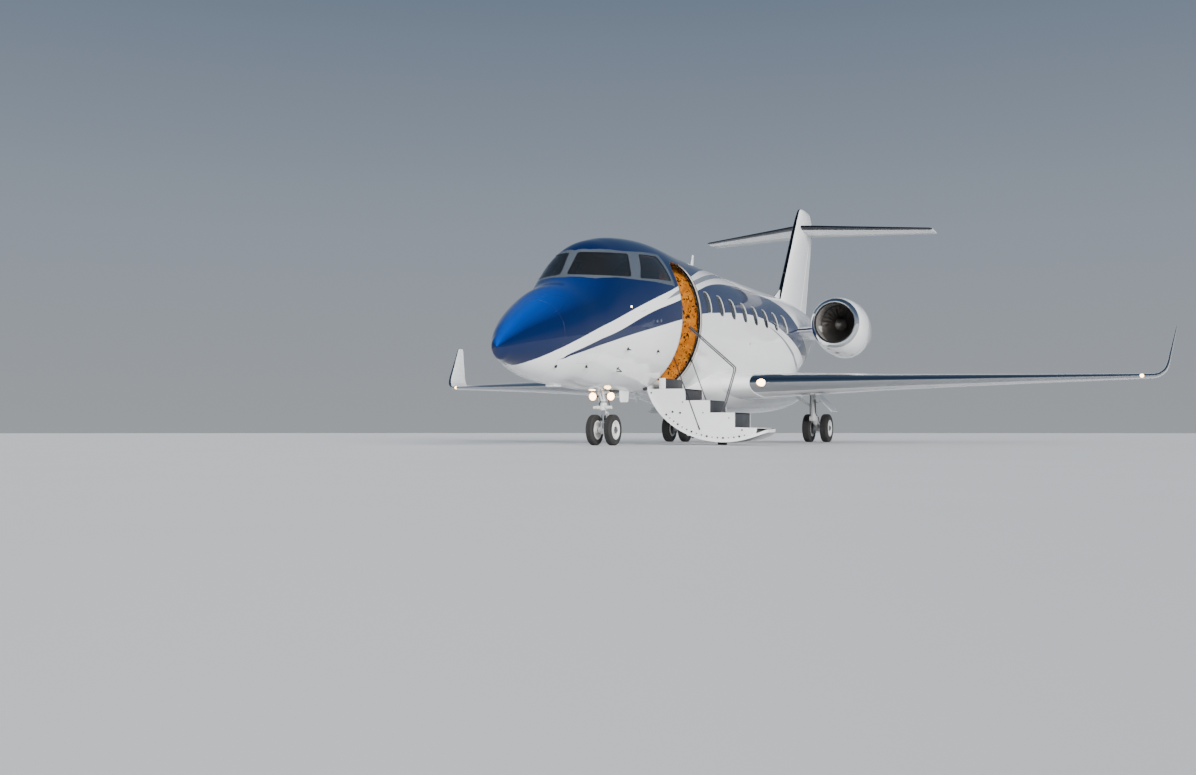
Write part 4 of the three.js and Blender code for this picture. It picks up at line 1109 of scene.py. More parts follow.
DOORWAY = Doorway()
PANES = (
    Pane("windshield", ((0.065, 2.44, 2.93), (0.852, 3.408, 2.958), (0.649, 3.713, 3.413),
                        (0.075, 2.87, 3.365)), (0.41, -0.9, -0.1)),
    Pane("side_window", ((0.91, 3.674, 2.958), (1.044, 4.832, 3.028), (0.771, 4.754, 3.488),
                         (0.707, 4.066, 3.444)), (0.88, -0.15, 0.45)),
)


@dataclass
class Fuselage:
    """The four skins of the fuselage with their glass and frames.

    A strip of glass or frame is (first station, last station, outer depth, inner depth), in the cabin with
    the distance between rings as well.
    """

    radome_joint: float = 1.25
    cabin_joint: float = 6.3
    tail_joint: float = 13.35
    gap: float = 0.0003
    wall: float = 0.07
    cockpit_front: float = 2.33
    cabin_back: float = 13.0
    floor_top: float = 1.64
    entry: tuple[float, float, float] = (5.06, 6.18, 1.25)
    window_first: float = 6.6
    window_pitch: float = 0.78
    window_count: int = 8
    window_z: float = 2.8
    window_size: tuple[float, float] = (0.34, 0.44)
    window_power: float = 0.7
    bay: tuple[float, float, float, float] = (0.22, 3.78, 4.8, 1.36)
    exhaust: tuple = ((0, 18.3, 3.13), (0, 18.8, 3.13), 0.075)
    pane_glass: tuple = (2.34, 5.0, 0.0015, 0.024)
    pane_seal: tuple = (2.34, 5.0, -0.0025, 0.006)
    cabin_glass: tuple = (6.35, 12.4, 0.012, 0.02, 0.2)
    cabin_bezel: tuple = (6.35, 12.4, 0.0085, 0.03, 0.2)
    door_strip: tuple = (5.0, 6.2, -0.003, 0.004)
    door_seal: tuple = (5.0, 6.2, 0.028, 0.069)

    def cavity(self) -> Solid:
        """The room inside, above the floor."""
        return HULL.body(self.cockpit_front, self.cabin_back, self.wall, self.floor_top, 64, 0.4)

    def vestibule(self) -> Solid:
        """The lower room inside the door."""
        start, end, floor = self.entry
        return HULL.body(start, end, self.wall, floor, 64, 0.28)

    def windows(self, grow: float, near: float = 0.8, far: float = 1.5) -> Solid:
        """The cabin windows' outlines as cutters to port."""
        width, height = (size / 2 + grow for size in self.window_size)

        def squared(share: float) -> float:
            return math.copysign(abs(share) ** self.window_power, share)

        ovals = []
        for k in range(self.window_count):
            middle = self.window_first + self.window_pitch * k
            ring = [
                (middle + width * squared(math.cos(turn)), self.window_z + height * squared(math.sin(turn)))
                for turn in turns(32, 0.5)
            ]
            ovals.append(Solid.sweep([[at(x, station, z) for station, z in ring] for x in (near, far)]))
        return Solid.joined(ovals)

    def finish_of(self, polygon: bpy.types.MeshPolygon) -> int:
        """The livery on the skin, grey in the nose bay, white on cut edges of the wall, lining inside."""
        if HULL.outside(polygon):
            return 0
        middle = polygon.center
        half, start, end, roof = self.bay
        in_bay = abs(middle.x) < half + 0.01 and start - 0.01 < middle.y + DATUM < end + 0.01
        if in_bay and middle.z < roof + 0.01:
            return 2
        return 3 if HULL.turn_of(middle)[1] > 0.95 else 1

    def skin(self, solid: Solid, name: str, node: str, slot: Slot) -> None:
        """Shows one stretch of the skin in place of its CAD node."""
        finishes = (LIVERY, LINING, WELL, WHITE_PAINT)
        piece = show(solid, name, finishes, "airframe", (node,), pick=self.finish_of)
        HULL.dress(piece)

    def build(self) -> None:
        """Makes the skins, glass and frames."""
        nose = HULL.body(HULL.rows[0][0], self.radome_joint - self.gap, step=0.05)
        HULL.dress(show(nose, "radome_skin", LIVERY, "airframe", ("radome",)))
        forward = HULL.body(self.radome_joint, self.cabin_joint - self.gap, step=0.08)
        half, start, end, roof = self.bay
        bay = Solid.box(at(-half, start, 0.0), at(half, end, roof))
        forward = forward.without(self.cavity(), self.vestibule(), DOORWAY.prism(0.0), bay)
        for pane in PANES:
            for side in Side:
                forward = forward.carve(pane.hole().on(side))
        self.skin(forward, "forward_skin", "forward_fuselage", Slot.WHITE)
        cabin = HULL.body(self.cabin_joint, self.tail_joint - self.gap).without(self.cavity())
        for side in Side:
            cabin = cabin.carve(self.windows(0.0).on(side))
        self.skin(cabin, "cabin_skin", "cabin_fuselage", Slot.WHITE)
        mouth, back, radius = self.exhaust
        exhaust = Solid.rod(at(*mouth), at(*back), radius)
        tail = HULL.body(self.tail_joint, HULL.rows[-1][0]).without(exhaust)
        self.skin(tail, "tail_skin", "tail_fuselage", Slot.WHITE)
        self.glaze()
        self.frames()

    def glaze(self) -> None:
        """Makes the cockpit panes with their seals, and the cabin panes with their bezels."""
        glass = HULL.band(*self.pane_glass)
        seal = HULL.band(*self.pane_seal)
        for pane in PANES:
            shape = glass.within(pane.hole(0.002))
            rim = seal.within(pane.hole(-0.004)).without(pane.hole(0.016))
            for side in Side:
                node = f"{pane.name}_{side.label}"
                piece = show(shape.on(side), f"{node}_glass", WINDSCREEN, "airframe", (node,))
                HULL.dress(piece)
                show(rim.on(side), f"{node}_seal", SEAL, "airframe")
        panes = HULL.band(*self.cabin_glass).within(self.windows(-0.003, 0.7))
        bezels = HULL.band(*self.cabin_bezel).within(self.windows(-0.0005, 0.7))
        bezels = bezels.without(self.windows(-0.014, 0.6))
        show_pair(panes, "cabin_windows_{}_glass", CABIN_GLASS, "airframe", "cabin_windows_{}")
        show_pair(bezels, "cabin_windows_{}_bezels", BEZEL, "airframe")

    def frames(self) -> None:
        """Makes the bright strip round the doorway and the dark seal on the inner half of its edge, a seal
        that also stands for painted shade inside the jamb.
        """
        strip = HULL.band(*self.door_strip).within(DOORWAY.prism(-0.018, 0.2))
        strip = strip.without(DOORWAY.prism(0.0, 0.1))
        show(strip, "doorway_strip", BRUSHED, "airframe")
        # Dark seal over the inner half of the jamb: partly a seal, partly painted shade where the inside of
        # the jamb lies in shadow.
        seal = HULL.band(*self.door_seal).within(DOORWAY.prism(-0.0005, 0.2))
        seal = seal.without(DOORWAY.prism(0.0008, 0.1))
        show(seal, "doorway_seal", SEAL, "airframe")


# Wings and tail


def half_thickness(share: float) -> float:
    """Half the thickness of a section at a share of its chord, for a thickness ratio of one."""
    root = 0.2969 * math.sqrt(share)
    return 5 * (root - 0.126 * share - 0.3516 * share ** 2 + 0.2843 * share ** 3 - 0.1036 * share ** 4)


@dataclass(frozen=True)
class Station:
    """A section of a wing or tail surface."""

    span: float
    lead: float
    chord: float
    z: float
    ratio: float
    cant: float = 0.0


@dataclass
class Surface:
    """A lofted wing, tailplane, fin or pylon, on the port side or upright."""

    rows: list[Station]
    upright: bool = False
    points: int = 34
    trail: float = 0.0035
    grow: float = 0.0

    def ring(self, row: Station) -> tuple[Ring, Chart]:
        """The section's points from the leading edge over the top and back, with their chart."""
        grow = self.grow
        cant = math.radians(row.cant)
        across = Vector((1, 0, 0)) if self.upright else Vector((-math.sin(cant), 0, math.cos(cant)))
        origin = at(0.0 if self.upright else row.span, row.lead, row.span if self.upright else row.z)
        shares = [(1 - math.cos(math.pi * k / self.points)) / 2 for k in range(1, self.points + 1)]
        ring, chart = [origin - Vector((0, grow, 0))], [(0.0, row.span)]
        for side, run in ((1, shares), (-1, shares[::-1])):
            for share in run:
                half = max(half_thickness(share) * row.ratio * row.chord, self.trail * min(1.0, share * 20))
                ring.append(origin + Vector((0, share * row.chord - grow * (1 - share), 0))
                            + across * side * (half + grow * min(1.0, share * 60)))
                chart.append((share, row.span))
        return ring, chart

    def solid(self) -> Solid:
        """The closed surface."""
        rings, charts = zip(*(self.ring(row) for row in self.rows))
        return Solid.sweep(rings, charts)

    def core(self, span: float, station: float) -> tuple[Vector, float]:
        """The middle point at a span and station, and the half thickness there."""
        k = max(0, min(len(self.rows) - 2, sum(row.span <= span for row in self.rows) - 1))
        a, b = self.rows[k], self.rows[k + 1]
        t = (span - a.span) / (b.span - a.span)
        chord = mix(a.chord, b.chord, t)
        share = (station - mix(a.lead, b.lead, t)) / chord
        half = half_thickness(share) * mix(a.ratio, b.ratio, t) * chord
        place = at(0.0, station, span) if self.upright else at(span, station, mix(a.z, b.z, t))
        return place, half


@dataclass(frozen=True)
class Hinge:
    """A movable surface's hinge line: (span, station) at its root and tip."""

    root: tuple[float, float]
    tip: tuple[float, float]
    end_gap: float = 0.006
    running_gap: float = 0.006
    reach: float = 2.5

    def split(self, whole: Solid, surface: Surface) -> tuple[Solid, Solid]:
        """Cuts the movable surface out.

        Args:
            whole: The solid to cut.
            surface: The lofted surface that it came from.

        Returns:
            The fixed solid and the moving one.
        """
        start, start_half = surface.core(*self.root)
        end, end_half = surface.core(*self.tip)
        along = (end - start).normalized()
        length = (end - start).length
        outward = Vector((1, 0, 0)) if surface.upright else Vector((0, 0, 1))
        aft = Vector((0, 1, 0)) if surface.upright else along.cross(outward)
        aft = aft if aft.y > 0 else -aft

        def behind(clear: float, shift: float) -> Solid:
            near = [start + along * clear + aft * shift, end - along * clear + aft * shift]
            far = [p + aft * self.reach for p in reversed(near)]
            return Solid.slab([*near, *far], outward * 0.8)

        def nose(factor: float, grow: float, clear: float) -> Solid:
            over = 0.12 if surface.upright else 0.0
            radii = [mix(start_half, end_half, d / length) * factor + grow
                     for d in (clear - over, length - clear + over)]
            rod = Solid.rod(start + along * (clear - over), end - along * (clear - over), *radii, segments=40)
            if not surface.upright:
                return rod
            low, high = (start + along * clear).z, (end - along * clear).z
            return rod.within(Solid.box(Vector((-2, start.y - 2, low)), Vector((2, end.y + 2, high))))

        fixed = whole.without(behind(0.0, 0.0), nose(1.08, self.running_gap + 0.001, 0.0))
        round_nose = whole.within(nose(0.99, -0.001, self.end_gap))
        blade = whole.within(behind(self.end_gap, 0.003))
        return fixed, blade.carve(round_nose, Cut.JOIN)


CUFF_END = 1.52
WING_SKIN = EdgedPaint("wing_skin", edge=(0.5, 0.51, 0.53), width=0.075, root=CUFF_END)
FLAP_SKIN = EdgedPaint("control_skin", width=-0.1)
TAIL_SKIN = EdgedPaint("tail_skin_paint", edge=(0.1, 0.105, 0.115), edge_rough=0.1, width=0.075)
FIN_SKIN = EdgedPaint("fin_skin_paint", edge=(0.1, 0.105, 0.115), edge_rough=0.12, width=0.022)


@dataclass
class Wing:
    """A swept wing with an upturned tip, its flap and its aileron."""

    straight: tuple = (
        (0.9, 7.57, 5.2, 1.24, 0.115, 0), (1.3, 7.87, 4.88, 1.253, 0.115, 0),
        (3.9, 9.8, 3.11, 1.336, 0.11, 0), (6.5, 11.73, 2.11, 1.419, 0.1, 0),
    )
    tip: tuple = (
        (8.75, 13.4, 1.253, 1.491, 0.1, 1), (9.02, 13.6, 1.15, 1.5, 0.1, 3),
        (9.19, 13.75, 1.06, 1.528, 0.095, 22), (9.33, 13.9, 0.96, 1.635, 0.09, 52),
        (9.4, 14.05, 0.85, 1.8, 0.085, 74), (9.436, 14.196, 0.741, 1.965, 0.084, 76),
    )
    end: tuple = ((9.592, 14.83, 0.27, 2.68, 0.08, 82), (9.594, 14.88, 0.2, 2.688, 0.03, 82))
    flap: Hinge = Hinge((2.35, 12.12), (5.95, 12.9))
    aileron: Hinge = Hinge((6.15, 13.01), (8.65, 14.18))
    lights: tuple = ((1.72, 0.075), (8.86, 0.04))
    cuff_grow: float = 0.016
    lens_grow: float = 0.004

    def surface(self) -> Surface:
        """The whole wing, with its tip curve made smooth."""
        rows = [*self.straight, *catmull(self.tip, 5), *self.end]
        return Surface([Station(*row) for row in rows])

    def light(self, surface: Surface, span: float, radius: float) -> Solid:
        """The outline of a lens flush in the leading edge, as a cutter."""
        row = next(k for k, each in enumerate(surface.rows) if each.span > span)
        a, b = surface.rows[row - 1], surface.rows[row]
        share = (span - a.span) / (b.span - a.span)
        lead, z = mix(a.lead, b.lead, share), mix(a.z, b.z, share)
        return Solid.rod(at(span, lead - 0.15, z), at(span, lead + 0.06, z), radius, segments=40)

    def build(self) -> None:
        """Makes both wings with their surfaces, lights and root cuffs."""
        surface = self.surface()
        whole = surface.solid()
        rest, flap = self.flap.split(whole, surface)
        fixed, aileron = self.aileron.split(rest, surface)
        root, inner, outer = self.straight[:3]
        share = (CUFF_END - inner[0]) / (outer[0] - inner[0])
        cuff_rows = [*catmull((root, inner), 2), [mix(a, b, share) for a, b in zip(inner, outer)]]
        cuff = Surface([Station(*row) for row in cuff_rows], grow=self.cuff_grow).solid()
        glove = Surface(surface.rows, grow=self.lens_grow).solid()
        lenses = Solid.joined([glove.within(self.light(surface, *row)) for row in self.lights])
        show_pair(lenses, "wing_lights_{}", LENS, "airframe")
        show_pair(cuff, "wing_cuff_{}", WHITE_PAINT, "airframe")
        show_pair(fixed, "wing_skin_{}", WING_SKIN, "airframe", "wing_{}")
        show_pair(flap, "flap_skin_{}", FLAP_SKIN, "flap_{}", "flap_{}")
        show_pair(aileron, "aileron_skin_{}", FLAP_SKIN, "aileron_{}", "aileron_{}")


@dataclass
class Tail:
    """The fin with its rudder and fillet, and the tailplane with its elevators.

    A wick is (station where it starts, height), and so is the beacon.
    """

    fin: tuple = (
        (3.25, 14.78, 3.27, 0, 0.085), (3.82, 15.38, 2.82, 0, 0.095), (5.8, 16.828, 1.995, 0, 0.109),
    )
    crown: tuple = (
        (5.98, 16.96, 1.92, 0, 0.11), (6.28, 17.21, 1.64, 0, 0.11), (6.5, 17.43, 1.26, 0, 0.11),
        (6.57, 17.62, 0.9, 0, 0.09), (6.585, 17.8, 0.6, 0, 0.05),
    )
    fillet: tuple = ((3.5, 14.3, 1.6, 0, 0.067), (3.75, 14.82, 1.1, 0, 0.07), (3.95, 15.28, 0.6, 0, 0.06),
                     (4.05, 15.52, 0.22, 0, 0.04))
    plane: tuple = (
        (0.0, 17.24, 2.02, 6.008, 0.1), (3.3, 19.212, 1.063, 6.039, 0.091), (3.37, 19.27, 1.0, 6.04, 0.07),
        (3.38, 19.33, 0.9, 6.04, 0.03),
    )
    rudder: Hinge = Hinge((3.6, 17.311), (5.9, 18.5), 0.028)
    elevator: Hinge = Hinge((0.26, 18.76), (3.26, 19.96))
    wicks: tuple = ((18.43, 4.5), (18.575, 5.0), (18.72, 5.5))
    wick_length: float = 0.12
    beacon: tuple[float, float] = (14.72, 3.7)
    beacon_outline: tuple = ((0.05, 0.0), (0.05, 0.035), (0.042, 0.07), (0.02, 0.09), (0.0, 0.094))
    stub: tuple = ((0, 15.85, 4.55), (0, 15.99, 4.55))

    def build(self) -> None:
        """Makes the tail's fixed and moving surfaces."""
        rows = [*self.fin, *catmull(self.crown, 4)]
        surface = Surface([Station(*row) for row in rows], upright=True)
        fixed, rudder = self.rudder.split(surface.solid(), surface)
        fillet = Surface([Station(*row) for row in self.fillet], upright=True).solid()
        show(Solid.joined([fixed, fillet]), "fin_skin", FIN_SKIN, "airframe", ("fin",))
        show(rudder, "rudder_skin", FLAP_SKIN, "rudder", ("rudder",))
        wicks = [Solid.rod(at(0, station, z), at(0, station + self.wick_length, z), 0.005, 0.002)
                 for station, z in self.wicks]
        show(Solid.joined(wicks), "rudder_wicks", STEEL, "rudder")
        beacon = Solid.lathe(self.beacon_outline, at(0, *self.beacon), UP, 24)
        stub = Solid.rod(*(at(*end) for end in self.stub), 0.014, 0.028)
        show(Solid.joined([beacon, stub]), "fin_fittings", BLACK, "airframe")
        plane = Surface([Station(*row) for row in self.plane])
        fixed, elevator = self.elevator.split(plane.solid(), plane)
        both = Solid.joined([fixed, fixed.mirrored()])
        show(both, "tailplane_skin", TAIL_SKIN, "airframe", ("tailplane",))
        show_pair(elevator, "elevator_skin_{}", FLAP_SKIN, "elevator_{}", "elevator_{}")


@dataclass
class Fairing:
    """The belly fairing under the wing roots, as rows of station, top, bottom, widest height, half width."""

    rows: tuple = (
        (6.9, 1.24, 0.985, 1.18, 0.42), (7.6, 1.56, 0.86, 1.23, 1.01), (8.9, 1.7, 0.705, 1.26, 1.33),
        (12.5, 1.7, 0.7, 1.26, 1.34), (13.7, 1.64, 0.85, 1.33, 1.12), (15.0, 1.8, 1.56, 1.7, 0.42),
    )
    around: int = 96

    def build(self) -> None:
        """Makes the fairing as one smooth skin."""
        rings = []
        for station, top, bottom, widest, half in catmull(self.rows, 8):
            spots = (egg(turn, half, top - widest, widest - bottom) for turn in turns(self.around))
            rings.append([at(across, station, widest + up) for across, up in spots])
        paint = GlossPaint("fairing_white", grime=0.18)
        show(Solid.sweep(rings), "belly_fairing_skin", paint, "airframe", ("belly_fairing",))


# Engines


@dataclass(frozen=True)
class NacelleSkin(Finish):
    """Paint outside, a polished lip, and a perforated liner inside ahead of the fan."""

    seams: tuple[float, float, float] = (0.1, 0.72, 2.1)

    def shade(self, graph: Graph) -> None:
        """The chart holds the distance aft of the lip, and 0 outside or 1 inside."""
        along, inner = graph.chart()
        lip = along.below(self.seams[0], 0.002)
        holes = graph.node("ShaderNodeTexVoronoi", {}, {"Vector": graph.place(), "Scale": 90.0}, "Distance")
        pits = holes.below(0.3, 0.1) * inner
        dirt = graph.noise(1.6, 6.0, 0.6)
        paint = graph.blend(dirt, WHITE, darker(WHITE, 0.9))
        liner = graph.blend(pits, (0.26, 0.25, 0.24), (0.05, 0.05, 0.05))
        liner = graph.blend(along.below(0.9, 0.01), (0.08, 0.078, 0.075), liner)
        colour = graph.blend(inner, paint, liner)
        first, second, third = (along.near(place, 0.0015, 0.001) for place in self.seams)
        seam = first.math("MAXIMUM", second).math("MAXIMUM", third)
        colour = graph.blend(lip, colour, (0.86, 0.87, 0.88))
        graph.set(
            Base_Color=graph.blend(seam * 0.6, colour, (0.05, 0.05, 0.055)),
            Metallic=lip.math("MAXIMUM", inner * 0.3),
            Roughness=(1 - lip) * (inner * 0.5 + 0.13) + lip * 0.07 + dirt * 0.04,
            Coat_Weight=(1 - lip) * (1 - inner),
            Coat_Roughness=0.04,
        )
        graph.bump(pits * -1.0 - seam, 0.15, 0.001)


@dataclass
class Engine:
    """A fuselage-mounted turbofan: nacelle, fan, core, vanes and pylon, drawn to port.

    A blade's row is (radius, twist in degrees, chord, thickness), a vent is (degrees, distance aft, radius).
    """

    x: float = 2.08
    z: float = 2.89
    lip: float = 13.0
    bend: float = 0.85
    toe_in: float = 0.055
    droop: float = 0.047
    sides: int = 96
    outer: tuple = (
        (2.85, 0.412, 0.42, 0.415), (2.3, 0.485, 0.56, 0.5), (1.75, 0.56, 0.705, 0.575),
        (1.3, 0.61, 0.78, 0.625), (0.85, 0.645, 0.79, 0.652), (0.42, 0.645, 0.725, 0.642),
        (0.13, 0.605, 0.622, 0.602), (0.03, 0.562, 0.565, 0.562), (0.002, 0.524, 0.524, 0.524),
    )
    duct: tuple = (
        (0.014, 0.494), (0.12, 0.47), (0.42, 0.488), (0.64, 0.506), (0.85, 0.506), (1.3, 0.5),
        (2.3, 0.435), (2.85, 0.392),
    )
    cowl: tuple = ((0.875, 0.14), (0.92, 0.2), (1.05, 0.26), (1.5, 0.285), (2.1, 0.29), (2.45, 0.25),
                   (2.6, 0.22))
    cone: tuple = ((2.35, 0.17), (2.6, 0.165), (2.75, 0.12), (2.95, 0.05), (3.06, 0.006))
    spinner: tuple = ((0.0, 0.482), (0.018, 0.487), (0.05, 0.51), (0.09, 0.56), (0.125, 0.63), (0.15, 0.7),
                      (0.158, 0.8), (0.06, 0.8), (0.06, 0.868), (0.0, 0.868))
    fan_at: float = 0.72
    blades: int = 24
    blade_rows: tuple = ((0.13, 18, 0.15, 0.013), (0.2, 28, 0.165, 0.01), (0.28, 38, 0.178, 0.008),
                         (0.36, 47, 0.184, 0.006), (0.43, 54, 0.182, 0.005), (0.484, 59, 0.172, 0.004))
    vanes_at: float = 1.22
    vanes: int = 30
    vane_rows: tuple = ((0.22, 8, 0.2, 0.012), (0.36, 6, 0.21, 0.01), (0.5, 4, 0.22, 0.01))
    vents: tuple = ((198, 0.22, 0.034), (182, 0.4, 0.05), (160, 0.9, 0.035))
    pylon: tuple = ((0.56, 12.95, 3.3, 2.69, 0.085), (1.6, 13.25, 2.45, 2.76, 0.1))

    def centre(self, along: float) -> tuple[float, float]:
        """The place of the bent axis across and up, at a distance aft of the lip."""
        aft = max(0.0, along - self.bend)
        return self.x - aft * self.toe_in, self.z - aft * self.droop

    def ring(self, along: float, top: float, bottom: float, half: float) -> Ring:
        """A ring about the bent axis."""
        x, z = self.centre(along)
        middle = at(x, self.lip + along, z)
        spots = (egg(turn, half, top, bottom) for turn in turns(self.sides))
        return [middle + Vector((across, 0, up)) for across, up in spots]

    def shell(self) -> Solid:
        """The nacelle from its tail over the lip and down the duct, as one closed skin."""
        rows = catmull([*self.outer, *((along, r, r, r) for along, r in self.duct)], 5)
        turn = rows.index(min(rows))
        charts = [[(row[0], 0.0 if k <= turn else 1.0)] * self.sides for k, row in enumerate(rows)]
        rings = [self.ring(*row) for row in rows]
        return Solid.sweep([*rings, rings[0]], [*charts, charts[0]], looped=True)

    def round_body(self, rows: Sequence[tuple[float, float]]) -> Solid:
        """A turned body about the bent axis."""
        return Solid.sweep([self.ring(along, r, r, r) for along, r in catmull(rows, 4)])

    def blade(self, rows: tuple, along: float) -> Solid:
        """A twisted blade that stands up from the axis, at a distance aft of the lip."""
        rings = []
        for radius, twist, chord, thick in catmull(rows, 3):
            turn = math.radians(twist)
            ring = []
            for angle in turns(14):
                v, u = chord / 2 * math.cos(angle), thick / 2 * math.sin(angle)
                u += 0.06 * chord * (1 - (2 * v / chord) ** 2)
                x = u * math.cos(turn) - v * math.sin(turn)
                y = (u * math.sin(turn) + v * math.cos(turn)) * 0.8
                ring.append(at(x, self.lip + along + y, radius))
            rings.append(ring)
        return Solid.sweep(rings)

    def wheel(self, rows: tuple, count: int, along: float) -> list[Solid]:
        """Blades all round the axis at a distance aft of the lip."""
        blade = self.blade(rows, along)
        x, z = self.centre(along)
        middle = Matrix.Translation((x, 0, z))
        return [blade.moved(middle @ Matrix.Rotation(turn, 4, "Y")) for turn in turns(count)]

    def vent(self, degrees: float, along: float, radius: float) -> Solid:
        """A round vent in the cowl."""
        turn = math.radians(degrees)
        row = min(catmull(self.outer, 5), key=lambda each: abs(each[0] - along))
        root = at(self.x + row[3] * math.sin(turn), self.lip + along, self.z + row[2] * math.cos(turn))
        out = Vector((math.sin(turn), 0, math.cos(turn)))
        return Solid.rod(root - out * 0.01, root + out * 0.002, radius)

    def build(self) -> None:
        """Makes both engines."""
        shell = self.shell()
        hub = Solid.lathe(self.spinner, at(self.x, self.lip, self.z), AFT)
        fan = Solid.joined([hub, *self.wheel(self.blade_rows, self.blades, self.fan_at)])
        vanes = self.wheel(self.vane_rows, self.vanes, self.vanes_at)
        core = Solid.joined([self.round_body(self.cowl), self.round_body(self.cone), *vanes])
        vents = Solid.joined([self.vent(*row) for row in self.vents])
        pylon = Surface([Station(*row) for row in self.pylon]).solid()
        blade_metal = Metal("fan_titanium", (0.5, 0.47, 0.44), 0.5, (40.0, 8.0, 40.0))
        core_metal = Metal("core_metal", (0.14, 0.13, 0.12), 0.42)
        skin = NacelleSkin("nacelle_skin")
        pylon_skin = EdgedPaint("pylon_skin", width=0.03)
        show_pair(shell, "nacelle_skin_{}", skin, "airframe", "nacelle_{}")
        show_pair(vents, "nacelle_vents_{}", BLACK, "airframe")
        show_pair(fan, "fan_blades_{}", blade_metal, "fan_{}", "fan_{}")
        show_pair(core, "engine_inside_{}", core_metal, "airframe", "engine_core_{}")
        show_pair(pylon, "pylon_skin_{}", pylon_skin, "airframe", "pylon_{}")


# Landing gear


@dataclass(frozen=True)
class WheelPair:
    """Two wheels on one axle, about a point on the port side or the middle line."""

    x: float
    station: float
    axle_z: float
    spread: float
    radius: float
    width: float
    rim: float
    bolts: int = 9

    def hub(self, side: int) -> Vector:
        """The middle of one wheel, on the outer side for 1 and the inner for -1."""
        return at(self.x + side * self.spread, self.station, self.axle_z)

    def tyre(self, side: int) -> Solid:
        """A tyre with round shoulders and four grooves."""
        half, wall = self.width / 2, self.radius - self.rim
        flank = catmull((
            (self.rim, 0.8), (self.rim + wall * 0.1, 0.9), (self.rim + wall * 0.3, 0.985),
            (self.rim + wall * 0.5, 1.0), (self.rim + wall * 0.72, 0.96), (self.rim + wall * 0.88, 0.85),
            (self.radius - wall * 0.025, 0.66), (self.radius, 0.5),
        ), 3)
        outline = [(radius, -share * half) for radius, share in flank]
        for groove in (-0.38, -0.13, 0.13, 0.38):
            along = groove * half
            outline += [(self.radius, along - 0.0045), (self.radius - 0.006, along - 0.0035),
                        (self.radius - 0.006, along + 0.0035), (self.radius, along + 0.0045)]
        outline += [(radius, share * half) for radius, share in reversed(flank)]
        return Solid.lathe(outline, self.hub(side), PORTWARD, 96)

    def wheel(self, side: int) -> Solid:
        """A dished rim with lightening holes, turned outwards."""
        half, rim = self.width / 2, self.rim
        outline = (
            (0.0, -0.88), (0.056, -0.88), (0.062, -0.84), (0.066, -0.1), (rim - 0.05, -0.05),
            (rim - 0.032, -0.4), (rim - 0.024, -0.8), (rim - 0.02, -0.9), (rim + 0.007, -0.91),
            (rim + 0.008, -0.87), (rim - 0.001, -0.8), (rim - 0.001, 0.8), (rim + 0.008, 0.87),
            (rim + 0.007, 0.93), (rim - 0.012, 0.95), (rim - 0.02, 0.88), (rim - 0.028, 0.6),
            (rim - 0.045, 0.34), (0.09, 0.28), (0.078, 0.34), (0.07, 0.5), (0.066, 0.74), (0.0, 0.76),
        )
        dish = Solid.lathe([(r, share * half) for r, share in outline], self.hub(side), PORTWARD * side, 72)
        ring = (rim + 0.045) / 2
        holes = []
        for turn in turns(self.bolts):
            middle = self.hub(side) + Vector((0, math.cos(turn), math.sin(turn))) * ring
            holes.append(Solid.pin(middle, PORTWARD, 0.013, segments=16))
        return dish.carve(Solid.joined(holes))

    def fittings(self, side: int) -> Solid:
        """The hub cap and the bolts on the dish."""
        half = self.width / 2
        out = PORTWARD * side
        cap = Solid.lathe(((0.062, 0.0), (0.062, 0.014), (0.056, 0.02), (0.048, 0.022), (0.044, 0.03),
                           (0.03, 0.036), (0.0, 0.038)), self.hub(side) + out * half * 0.74, out, 36)
        parts = [cap]
        for turn in turns(self.bolts * 2, 0.5):
            spot = self.hub(side) + Vector((0, math.cos(turn), math.sin(turn))) * (self.rim - 0.04)
            parts.append(Solid.rod(spot + out * half * 0.3, spot + out * half * 0.46, 0.0075, segments=6))
        return Solid.joined(parts)

    def show(self, name: str, body: str, side: Side, tyres: dict[int, str], wheels: str) -> None:
        """Shows the pair: tyres by their nodes, rims in place of the wheels' node, hubs and the axle."""
        for place, node in tyres.items():
            show(self.tyre(place).on(side), f"{node}_rubber", RUBBER, body, (node,))
        rims = Solid.joined([self.wheel(1), self.wheel(-1)])
        show(rims.on(side), f"{name}_rims", RIM_WHITE, body, (wheels,))
        axle = Solid.rod(self.hub(-1), self.hub(1), 0.035)
        parts = Solid.joined([self.fittings(1), self.fittings(-1), axle])
        show(parts.on(side), f"{name}_hubs", HUB_METAL, body)


RIM_WHITE = GlossPaint("rim_white", (0.8, 0.8, 0.79), 0.3, 0.3)
LEG_WHITE = GlossPaint("leg_white", (0.78, 0.79, 0.79), 0.25, 0.3)
HUB_METAL = Metal("hub_metal", (0.36, 0.36, 0.37), 0.3)
HOSE = Plastic("hose_black", (0.02, 0.02, 0.022), 0.55)
LENS = Glow("landing_light", (1.0, 0.55, 0.2), 16.0)


def torque_link(knee: Vector, upper: Vector, lower: Vector) -> Solid:
    """Two A-shaped links that meet at a knee pin."""
    parts = [Solid.pin(knee, PORTWARD * 0.035, 0.015)]
    for root in (upper, lower):
        parts.append(Solid.pin(root, PORTWARD * 0.062, 0.016))
        for side in (1, -1):
            ends = root + PORTWARD * side * 0.05, knee + PORTWARD * side * 0.014
            parts.append(Solid.rod(*ends, 0.015, 0.012))
        web = root.lerp(knee, 0.45)
        parts.append(Solid.pin(web, PORTWARD * 0.034, 0.009))
    return Solid.joined(parts)


